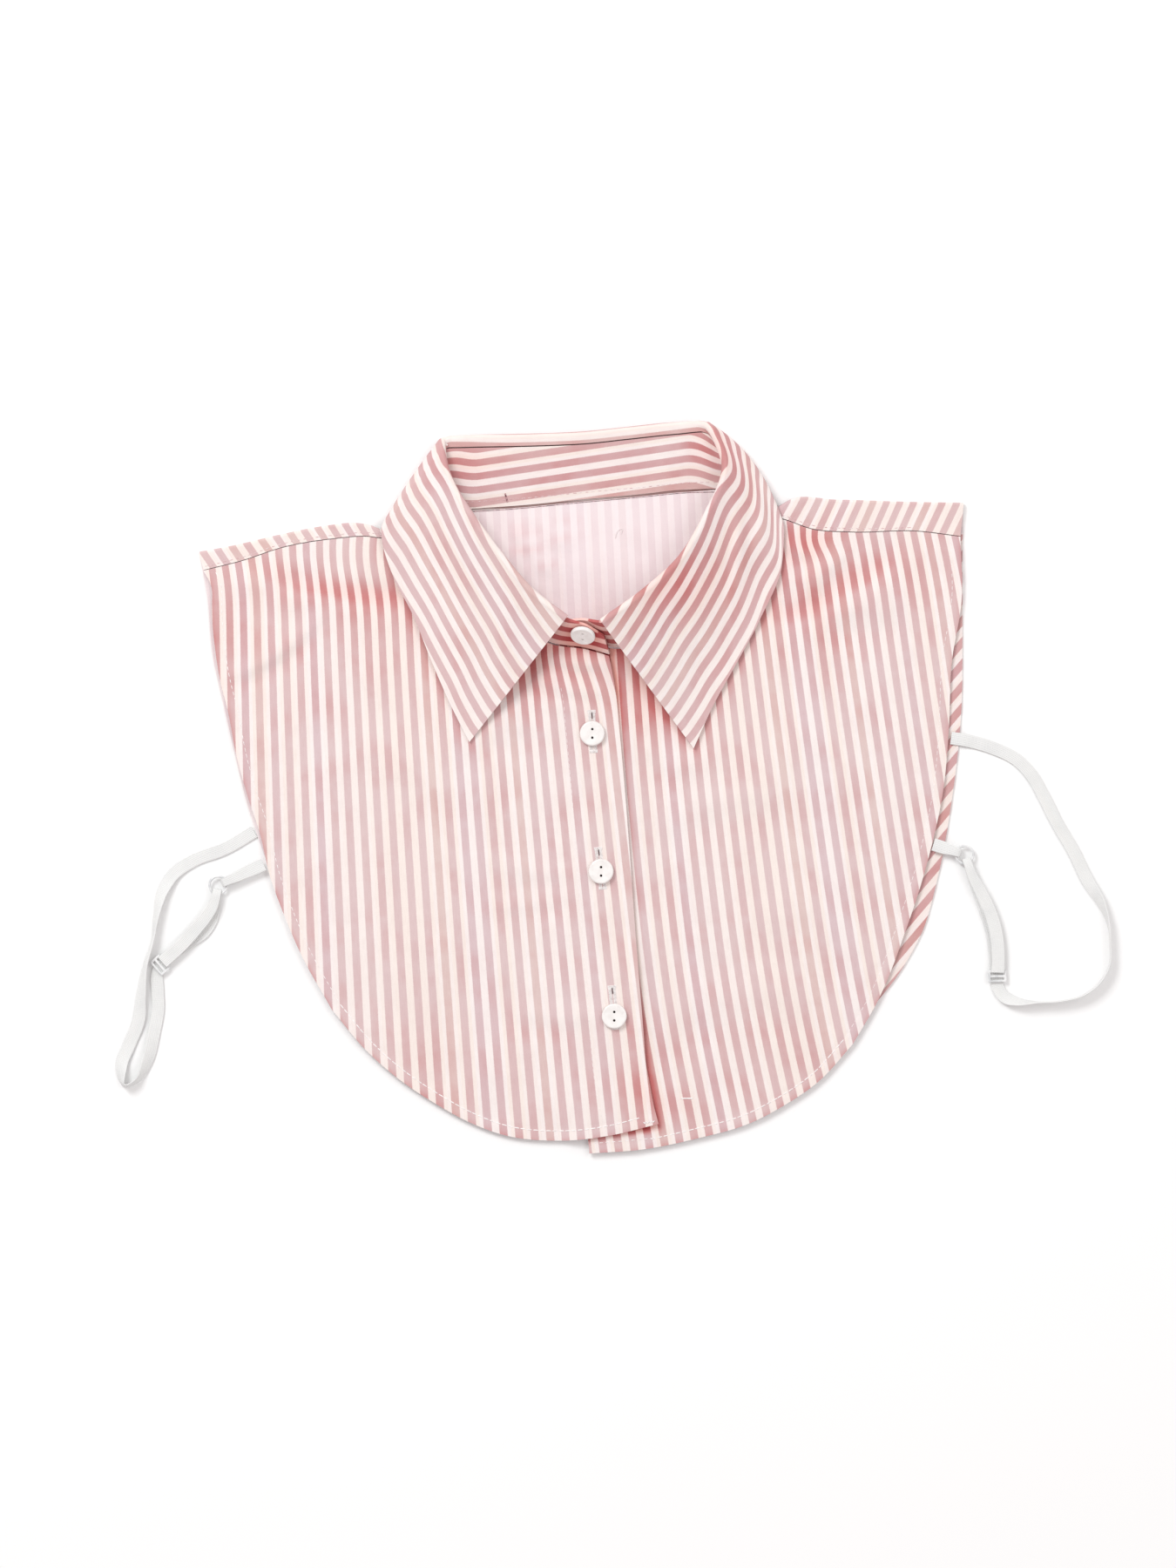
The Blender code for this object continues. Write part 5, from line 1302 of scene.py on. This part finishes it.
    def edge_relief(self, grid):
        """The fall's soft unevenness."""
        return 0.15 * softly(grid[:, :, 0], grid[:, :, 1], 26.0, 9)

    def cloth_coords(self, grid, from_row=0):
        """How far each point lies across the piece from a row, and along that row."""
        steps = np.linalg.norm(np.diff(grid, axis=1), axis=2)
        across = np.concatenate([np.zeros((len(grid), 1)), np.cumsum(steps, axis=1)], axis=1)
        across = across - across[:, from_row:from_row + 1]
        middle = grid[:, from_row]
        along = np.concatenate([[0.0], np.cumsum(np.linalg.norm(np.diff(middle, axis=0), axis=1))])
        return np.dstack([across, np.repeat(along[:, None], grid.shape[1], axis=1)])


class COLLAR_OT_stitching(bpy.types.Operator):
    """Sew the hems, plackets, shoulders, collar, buttonholes and tacks"""
    bl_idname = "collar.stitching"
    bl_label = "Stitching"

    def execute(self, context):
        trim = context.scene.collar_trim
        white = plain_finish("sewing_thread", trim.thread_white, trim.thread_shade, 0.75, 900.0, 0.4)
        pink = plain_finish("darker_thread", trim.thread_pink, trim.thread_shade, 0.75, 900.0, 0.4)
        fronts = Surface("front_left_cloth", "front_right_cloth")

        hems = Bundle()
        left_side = tuple(reversed(LEFT_SIDE))
        stitches(hems, fronts, inset(left_side, HEM_WIDTH), trim, seed=1, thick=0.9)
        stitches(hems, fronts, inset(LEFT_HEM[:-1] + ((29.5, -159.8),), HEM_WIDTH), trim, 0.96, 2, 1.45)
        stitches(hems, fronts, inset(((33.0, -170.4),) + RIGHT_HEM[2:], HEM_WIDTH), trim, 0.96, 3, 1.45)
        stitches(hems, fronts, inset(((5.0, -172.4), (20.0, -171.2), (36.0, -169.7)), HEM_WIDTH), trim, seed=4)
        stitches(hems, fronts, inset(RIGHT_SIDE, HEM_WIDTH), trim, seed=5, thick=0.7)
        hems.piece("hem_stitches", "cloth", white)

        seams = Bundle()
        placket = inset(tuple(reversed(OVERLAP_EDGE[:-1])), -PLACKET_WIDTH)
        stitches(seams, fronts, placket[::-1], trim, seed=6, thick=0.5)
        seams.piece("placket_stitches", "cloth", white)

        back = Surface("back_cloth")
        # The darker pink of the shoulder stitches also stands for the seam line's shade: partly thread, partly painted
        # shade.
        shoulders = Bundle()
        for line, seed in ((LEFT_SHOULDER_SEAM, 7), (RIGHT_SHOULDER_SEAM, 8)):
            raised = tuple((x, y + 1.9) for x, y in line[:-1])
            stitches(shoulders, back, evenly(raised, 80), trim, seed=seed, thick=0.8)
        shoulders.piece("shoulder_stitches", "cloth", pink)

        self.collar_stitches(trim, white, pink)
        self.buttonholes(trim, white, fronts)
        self.tacks(trim, white, pink)
        return {"FINISHED"}

    def collar_stitches(self, trim, white, pink):
        """The stand's line above the back neck seam."""
        stand = Surface("stand_cloth")
        seam = evenly(BACK_NECK[1:-1], 120)
        line = seam + np.array([0.0, 4.2])
        sewn = Bundle()
        stitches(sewn, stand, line, trim, seed=11, thick=0.8)
        sewn.piece("stand_stitches", "cloth", pink)

    def buttonholes(self, trim, white, surface):
        """Worked buttonholes: short dense stitches round a slit, and a near-black tube in the slit that is a painted
        shadow.
        """
        thread = trim.thread / MM
        dark = plain_finish("slit_shade", trim.hole, trim.tick_and_shadow_dark, 0.9, 900.0, 0.2)
        for name, x0, y0, x1, y1 in BUTTONHOLES:
            hole = Bundle()
            way = unit(np.array([x1 - x0, y1 - y0]))
            aside = np.array([-way[1], way[0]])
            length = math.hypot(x1 - x0, y1 - y0)
            for side in (-1, 1):
                for number, along in enumerate(np.arange(0.0, length, thread * 1.05)):
                    uneven = noise.noise(Vector((number * 0.7, side * 2.0, y0)))
                    middle = np.array([x0, y0]) + way * along + aside * side * (0.95 + 0.1 * uneven)
                    ends = [middle - aside * (0.75 + 0.1 * uneven), middle, middle + aside * (0.75 + 0.1 * uneven)]
                    hits = [surface.at(*end) for end in ends]
                    ups = np.array([hit[1] for hit in hits])
                    places = np.array([hit[0] for hit in hits]) + ups * np.array([[0.02], [0.22], [0.02]])
                    hole.tube(places, 6, [thread * 0.9] * 3, [thread, thread * 1.2, thread], ups)
            for end, turn in ((0.0, -1), (length, 1)):
                for side in np.arange(-1.8, 1.81, thread):
                    middle = np.array([x0, y0]) + way * (end + turn * 0.1) + aside * side
                    ends = [middle - way * 0.7, middle, middle + way * 0.7]
                    hits = [surface.at(*spot) for spot in ends]
                    ups = np.array([hit[1] for hit in hits])
                    places = np.array([hit[0] for hit in hits]) + ups * np.array([[0.02], [0.28], [0.02]])
                    hole.tube(places, 6, [thread * 0.9] * 3, [thread, thread * 1.3, thread], ups)
            hole.piece(name.replace("button", "buttonhole"), "cloth", white)
            # Painted shadow: a near-black tube along the slit stands for the shade in it.
            slit = Bundle()
            hits = [surface.at(*(np.array([x0, y0]) + way * along + aside * 0.2)) for along in np.linspace(0.4, 3.2, 8)]
            ups = np.array([hit[1] for hit in hits])
            slit.tube(np.array([hit[0] for hit in hits]) + ups * 0.34, 6, [0.42] * 8, [0.3] * 8, ups)
            slit.piece(name.replace("button", "buttonhole_slit"), "cloth", dark)

    def tacks(self, trim, white, pink):
        """Bar tacks at the hem, the dark tick behind the neck, and a loose end of thread."""
        cloth = Surface("front_left_cloth", "front_right_cloth")
        tacks = Bundle()
        start, end, swing, turns = ZIGZAG_TACK
        zigzag = np.linspace(start, end, turns)
        zigzag[:, 1] += swing / 2 * (-1.0) ** np.arange(turns)
        for line, wide in ((zigzag, 0.5), (np.linspace(*BAR_TACK, 9), 0.65)):
            hits = [cloth.at(x, y) for x, y in walk(line, 0.35)]
            ups = np.array([hit[1] for hit in hits])
            thick = [wide] * len(hits)
            tacks.tube(np.array([hit[0] for hit in hits]) + ups * 0.12, 6, thick, [0.4] * len(hits), ups)
        tacks.piece("hem_tacks", "cloth", white)
        back = Surface("back_cloth")
        loose = Bundle()
        line = walk(evenly(LOOSE_THREAD, 40), 0.6)
        hits = [back.at(x, y) for x, y in line]
        places = np.array([hit[0] for hit in hits]) + np.array([0.0, 0.0, 0.35])
        ups = np.array([hit[1] for hit in hits])
        thin = [trim.thread / MM * 0.7] * len(places)
        loose.tube(places, 6, thin, thin, ups)
        loose.piece("loose_thread", "cloth", white)
        # Near-black: thread for the tick, and a painted shadow for the neck seam line.
        dark = plain_finish("tick_thread_and_seam_shadow", trim.tick_and_shadow_dark, trim.thread_pink, 0.8, 900.0, 0.3)
        stand = Surface("stand_cloth")
        tick = Bundle()
        for (x0, y0), (x1, y1) in (THREAD_TICK,):
            hits = [stand.at(x0 + (x1 - x0) * share, y0 + (y1 - y0) * share) for share in np.linspace(0, 1, 7)]
            ups = np.array([hit[1] for hit in hits])
            thin = [trim.thread / MM * 2.4] * len(hits)
            tick.tube(np.array([hit[0] for hit in hits]) + ups * 0.12, 6, thin, thin, ups)
        tick.piece("thread_tick", "cloth", dark)
        self.neck_seam(trim, dark, back)


    def neck_seam(self, trim, dark, back):
        """A painted shadow: a thin near-black tube along the back neck seam that stands for the shade in its gap."""
        line = evenly(BACK_NECK[1:-1], 90)
        hits = [(point, back.at(point[0], point[1] - 0.4)) for point in line]
        hits = [hit for _, hit in hits if hit is not None]
        ups = np.array([hit[1] for hit in hits])
        thin = [trim.thread / MM * 0.9] * len(hits)
        seam = Bundle()
        seam.tube(np.array([hit[0] for hit in hits]) + ups * 0.1, 6, thin, thin, ups)
        seam.piece("neck_seam_thread", "cloth", dark)


def button_mesh(name, trim):
    """A turned shirt button with a rounded rim and a dished face, not yet drilled."""
    radius, tall = BUTTON_DIAMETER / 2, BUTTON_THICKNESS
    profile = [(0.0, 0.1), (radius * 0.55, 0.0), (radius - 1.0, 0.12)]
    for angle in np.radians(np.arange(-70.0, 111.0, 20.0)):
        profile.append((radius - 0.75 + 0.75 * math.cos(angle), tall / 2 + (tall / 2) * math.sin(angle)))
    profile += [(radius - 1.5, tall - 0.05), (radius - 2.0, tall - 0.13), (radius - 2.6, tall - 0.17), (0.0, tall - 0.18)]
    sides = 64
    points, faces = [], []
    for distance, height in profile:
        count = 1 if distance == 0.0 else sides
        points.append([(distance * math.cos(2 * math.pi * k / sides), distance * math.sin(2 * math.pi * k / sides),
                        height) for k in range(count)])
    flat = [point for ring in points for point in ring]
    starts = np.concatenate([[0], np.cumsum([len(ring) for ring in points])])
    for k in range(len(points) - 1):
        for side in range(sides):
            after = (side + 1) % sides
            if len(points[k]) == 1:
                faces.append([starts[k], starts[k + 1] + after, starts[k + 1] + side])
            elif len(points[k + 1]) == 1:
                faces.append([starts[k] + side, starts[k] + after, starts[k + 1]])
            else:
                faces.append([starts[k] + side, starts[k] + after, starts[k + 1] + after, starts[k + 1] + side])
    mesh = bpy.data.meshes.new(name)
    mesh.from_pydata([Vector(point) * MM for point in flat], [], [[int(k) for k in face] for face in faces])
    return mesh


class COLLAR_OT_buttons(bpy.types.Operator):
    """Turn and drill the buttons, and sew them on"""
    bl_idname = "collar.buttons"
    bl_label = "Buttons"

    def execute(self, context):
        trim = context.scene.collar_trim
        resin = plain_finish("button_resin", trim.button, trim.button_shade, 0.22, 260.0, 0.05, coat=0.3)
        # The front buttons' knots are thread whose near-black tone is a painted shadow in the holes.
        dark = plain_finish("button_thread", trim.hole, trim.hole, 0.9, 900.0, 0.2)
        white = plain_finish("neck_button_thread", trim.button_shade, trim.thread_shade, 0.7, 900.0, 0.3)
        for name, place, up in self.places():
            mesh = button_mesh(name + "_resin", trim)
            blank = bpy.data.objects.new(name + "_blank", mesh)
            bpy.context.scene.collection.objects.link(blank)
            drills = []
            for side in (-1, 1):
                bpy.ops.mesh.primitive_cylinder_add(vertices=24, radius=trim.hole_size / 2, depth=0.01,
                                                    location=(0.0, side * BUTTON_HOLE_PITCH / 2 * MM, 0.001))
                drill = bpy.context.object
                cut = blank.modifiers.new("hole", "BOOLEAN")
                cut.operation = "DIFFERENCE"
                cut.solver = "EXACT"
                cut.object = drill
                drills.append(drill)
            bpy.context.view_layer.update()
            drilled = bpy.data.meshes.new_from_object(blank.evaluated_get(context.evaluated_depsgraph_get()))
            for thing in drills + [blank]:
                bpy.data.objects.remove(thing, do_unlink=True)
            drilled.materials.clear()
            drilled.materials.append(resin)
            drilled.shade_smooth()
            drilled.set_sharp_from_angle(angle=math.radians(35))
            up = Vector(up).normalized()
            side = Vector((1.0, 0.0, 0.0))
            side = (side - up * side.dot(up)).normalized()
            turn = Matrix((side, up.cross(side), up)).transposed().to_4x4()
            drilled.transform(Matrix.Translation(Vector(place) * MM) @ turn)
            show(name + "_disc", drilled, "button", name)
            self.sew_on(name, place, turn, white if name == "button_neck" else dark, trim.hole_size / MM)
        return {"FINISHED"}

    def places(self):
        """Each button's name, the middle of its back and the way it faces."""
        found = []
        for name, x, y in FRONT_BUTTONS:
            top = PANEL_CLOTH / 2 + LAYER_STEP + OVERLAP_LIFT + PLACKET_CLOTH / 2
            found.append((name, (x, y, top + GAP), (0.0, 0.0, 1.0)))
        stand = stand_rows()
        at = STAND_TOP_END[0][0]
        roll, seam = stand[at, 0:3], stand[at, 3:6]
        up = unit(roll - seam)
        along = stand[at + 1, 0:3] + stand[at + 1, 3:6] - stand[at - 1, 0:3] - stand[at - 1, 3:6]
        out = unit(np.cross(up, along))
        place = seam + (roll - seam) * NECK_BUTTON_SHARE + out * (STAND_CLOTH / 2 + BUTTON_OFF_STAND)
        found.append(("button_neck", tuple(place), tuple(out)))
        return found

    def sew_on(self, name, place, turn, dark, hole):
        """Knots of thread deep in the two holes. On the front buttons they are near-black, a painted shadow in the
        holes.
        """
        sewn = Bundle()
        for side in (-1, 1):
            heights = (0.05, 0.8, 1.5) if name == "button_neck" else (0.05, 0.3, 0.6)
            path = [Vector((0.0, side * BUTTON_HOLE_PITCH / 2, height)) for height in heights]
            moved = [np.array(turn @ point) + np.array(place) for point in path]
            ups = [np.array(turn @ Vector((1.0, 0.0, 0.0)))] * 3
            wide = [hole * 0.9] * 3
            sewn.tube(moved, 12, wide, wide, ups)
        sewn.piece(name.replace("button", "button_thread"), "cloth", dark)


class COLLAR_OT_elastics(bpy.types.Operator):
    """Run the narrow elastics through their sliders and rings"""
    bl_idname = "collar.elastics"
    bl_label = "Elastics"

    def execute(self, context):
        trim = context.scene.collar_trim
        woven = woven_elastic("narrow_elastic", trim)
        for name, way_out, ring, heading, below_first, way_back in ELASTICS:
            route = route_through(way_out, ring, heading, below_first, way_back)
            spans = np.linalg.norm(np.diff(np.array(route)[:, :3], axis=0), axis=1)
            path = curve_through(route, [max(3, round(span / 1.0)) for span in spans])
            self.ribbon(name, path, woven)
        return {"FINISHED"}

    def ribbon(self, name, path, material):
        """A flat elastic along a route, with soft edges. Gives the piece and its line in metres."""
        centre, lean = path[:, :3].copy(), np.radians(path[:, 3])
        half_w, half_t = path[:, 4] / 2, ELASTIC_THICKNESS / 2
        clear = half_w * np.abs(np.sin(lean)) + half_t * np.abs(np.cos(lean)) + FLOOR_CLEARANCE
        centre[:, 2] = np.maximum(centre[:, 2], clear)
        way = unit(np.gradient(centre, axis=0))
        flat = np.column_stack([-way[:, 1], way[:, 0], np.zeros(len(way))])
        for k in range(1, len(flat)):
            if np.linalg.norm(flat[k]) < STEEP_TURN:
                flat[k] = flat[k - 1]
            if flat[k] @ flat[k - 1] < 0:
                flat[k] = -flat[k]
        flat = unit(flat)
        side = flat * np.cos(lean)[:, None] + np.cross(way, flat) * np.sin(lean)[:, None]
        face = np.cross(side, way)
        thick = half_t * 0.8
        section = [(-1.0, 0.0), (-0.93, -0.8), (-0.5, -1.0), (0.0, -0.9), (0.5, -1.0), (0.93, -0.8),
                   (1.0, 0.0), (0.93, 0.8), (0.5, 1.0), (0.0, 0.9), (-0.5, 1.0), (-0.93, 0.8)]
        along = np.concatenate([[0.0], np.cumsum(np.linalg.norm(np.diff(centre, axis=0), axis=1))])
        points, coords, faces = [], [], []
        for k in range(len(centre)):
            uneven = 1.0 + 0.03 * noise.noise(Vector((along[k] / 6.0, len(centre), 0.0)))
            for across, through in section:
                points.append(centre[k] + side[k] * across * half_w[k] * uneven + face[k] * through * thick)
                coords.append((along[k], across * half_w[k]))
        count = len(section)
        for k in range(len(centre) - 1):
            for edge in range(count):
                after = (edge + 1) % count
                faces.append([k * count + edge, k * count + after, (k + 1) * count + after, (k + 1) * count + edge])
        faces.append(list(reversed(range(count))))
        faces.append([(len(centre) - 1) * count + edge for edge in range(count)])
        mesh = build_mesh(name + "_elastic", np.array(points), faces, coords, [material])
        return show(name + "_elastic", mesh, "elastic", name), centre * MM


class COLLAR_OT_hardware(bpy.types.Operator):
    """Mould the rings and sliders, with rounded edges"""
    bl_idname = "collar.hardware"
    bl_label = "Rings and sliders"

    def execute(self, context):
        trim = context.scene.collar_trim
        plastic = plain_finish("moulded_plastic", trim.plastic, trim.elastic_shade, 0.35, 300.0, 0.05, coat=0.2)
        for name, (x, y) in (("ring_left", LEFT_RING), ("ring_right", RIGHT_RING)):
            bpy.ops.mesh.primitive_torus_add(
                major_segments=56, minor_segments=16, major_radius=(RING_OUTER - RING_WIRE) / 2 * MM,
                minor_radius=RING_WIRE / 2 * MM, location=(0.0, 0.0, 0.0))
            self.take(name, context, Matrix.Translation(Vector((x, y, RING_HEIGHT)) * MM), plastic)
        for name, x, y, turn in SLIDERS:
            drills = [self.block(SLIDER_SLOT[0], SLIDER_SLOT[1], DRILL_DEPTH, side * SLIDER_SLOT_PITCH / 2)
                      for side in (-1, 1)]
            slide = self.block(SLIDER_WIDTH, SLIDER_LENGTH, SLIDER_THICKNESS, 0.0)
            for drill in drills:
                cut = slide.modifiers.new("slot", "BOOLEAN")
                cut.operation = "DIFFERENCE"
                cut.solver = "EXACT"
                cut.object = drill
            soft = slide.modifiers.new("soft edges", "BEVEL")
            soft.width = SLIDER_EDGE * MM
            soft.segments = 3
            place = Matrix.Translation(Vector((x, y, SLIDER_HEIGHT)) * MM) @ Matrix.Rotation(math.radians(turn), 4, "Z")
            self.take(name, context, place, plastic)
            for drill in drills:
                bpy.data.objects.remove(drill, do_unlink=True)
        return {"FINISHED"}

    def block(self, wide, long, tall, along):
        """A block in millimetres, for a slide or to cut its slots."""
        bpy.ops.mesh.primitive_cube_add(size=1.0, location=(0.0, 0.0, 0.0))
        made = bpy.context.object
        made.data.transform(Matrix.Translation((0.0, along * MM, 0.0)) @ Matrix.Diagonal((wide * MM, long * MM, tall * MM, 1.0)))
        return made

    def take(self, name, context, place, plastic):
        """Turn the object just made into a finished piece."""
        bpy.context.view_layer.update()
        blank = bpy.context.object
        mesh = bpy.data.meshes.new_from_object(blank.evaluated_get(context.evaluated_depsgraph_get()))
        bpy.data.objects.remove(blank, do_unlink=True)
        mesh.transform(place)
        mesh.materials.clear()
        mesh.materials.append(plastic)
        mesh.shade_smooth()
        mesh.set_sharp_from_angle(angle=math.radians(40))
        show(name + "_moulded", mesh, "hardware", name)


class COLLAR_OT_stage(bpy.types.Operator):
    """Set the pale floor, the soft lights and the camera straight above"""
    bl_idname = "collar.stage"
    bl_label = "Floor, light and camera"

    def execute(self, context):
        stage = context.scene.collar_stage
        finish = Finish("pale_floor")
        place = finish.node("ShaderNodeTexCoord").outputs["Object"]
        tone = finish.mix(finish.noise(place, 6.0, 2.0), colour(stage.floor), colour([c * 0.99 for c in stage.floor]))
        finish.link(tone, finish.shader.inputs["Base Color"])
        finish.surface(0.9, specular=0.1)
        bpy.ops.mesh.primitive_plane_add(size=6.0, location=(0.0, 0.0, -0.0002))
        floor = context.object
        floor.name = "floor"
        floor.data.materials.append(finish.material)

        world = bpy.data.worlds.new("studio")
        world.use_nodes = True
        world.node_tree.nodes["Background"].inputs[0].default_value = colour(stage.sky)
        world.node_tree.nodes["Background"].inputs[1].default_value = stage.fill
        context.scene.world = world
        context.scene.view_settings.view_transform = "Standard"

        for name, size_of, power, place in (("key", 0.9, stage.key, KEY_PLACE), ("side", 1.2, stage.key * 0.35, SIDE_PLACE)):
            lamp = bpy.data.lights.new(name, "AREA")
            lamp.size = size_of
            lamp.energy = power
            lamp.color = tuple(stage.lamp)
            light = bpy.data.objects.new(name, lamp)
            light.location = place
            light.rotation_euler = (Vector((0.0, 0.0, 0.0)) - Vector(place)).to_track_quat("-Z", "Y").to_euler()
            context.scene.collection.objects.link(light)

        data = bpy.data.cameras.new("studio_camera")
        data.lens = stage.lens
        data.sensor_fit = "VERTICAL"
        data.sensor_height = SENSOR_HEIGHT
        data.clip_end = 50.0
        camera = bpy.data.objects.new("studio_camera", data)
        distance = stage.frame_height * stage.lens / SENSOR_HEIGHT
        camera.location = (VIEW_CENTRE[0] * MM, VIEW_CENTRE[1] * MM, distance)
        context.scene.collection.objects.link(camera)
        context.scene.camera = camera
        return {"FINISHED"}


class COLLAR_PT_panel(bpy.types.Panel):
    """The collar's pieces and settings"""
    bl_idname = "COLLAR_PT_panel"
    bl_label = "Detachable collar"
    bl_space_type = "VIEW_3D"
    bl_region_type = "UI"
    bl_category = "Collar"

    def draw(self, context):
        for group in (context.scene.collar_cloth, context.scene.collar_trim, context.scene.collar_stage):
            column = self.layout.column()
            for name in group.bl_rna.properties.keys():
                if name not in ("rna_type", "name"):
                    column.prop(group, name)
        for operator in OPERATORS:
            self.layout.operator(operator.bl_idname)


OPERATORS = (COLLAR_OT_back, COLLAR_OT_fronts, COLLAR_OT_collar, COLLAR_OT_stitching, COLLAR_OT_buttons,
             COLLAR_OT_elastics, COLLAR_OT_hardware, COLLAR_OT_stage)
GROUPS = (("collar_cloth", CollarCloth), ("collar_trim", CollarTrim), ("collar_stage", CollarStage))


def register():
    """Add the settings, the operators and the panel."""
    for name, group in GROUPS:
        bpy.utils.register_class(group)
        setattr(bpy.types.Scene, name, PointerProperty(type=group))
    for operator in OPERATORS:
        bpy.utils.register_class(operator)
    bpy.utils.register_class(COLLAR_PT_panel)


def unregister():
    """Take them away again."""
    bpy.utils.unregister_class(COLLAR_PT_panel)
    for operator in reversed(OPERATORS):
        bpy.utils.unregister_class(operator)
    for name, group in reversed(GROUPS):
        delattr(bpy.types.Scene, name)
        bpy.utils.unregister_class(group)


def main():
    """Make every piece in order."""
    register()
    bpy.ops.collar.stage()
    bpy.ops.collar.back()
    bpy.ops.collar.fronts()
    bpy.ops.collar.collar()
    bpy.ops.collar.stitching()
    bpy.ops.collar.buttons()
    bpy.ops.collar.hardware()
    bpy.ops.collar.elastics()
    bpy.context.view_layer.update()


if __name__ == "__main__":
    main()
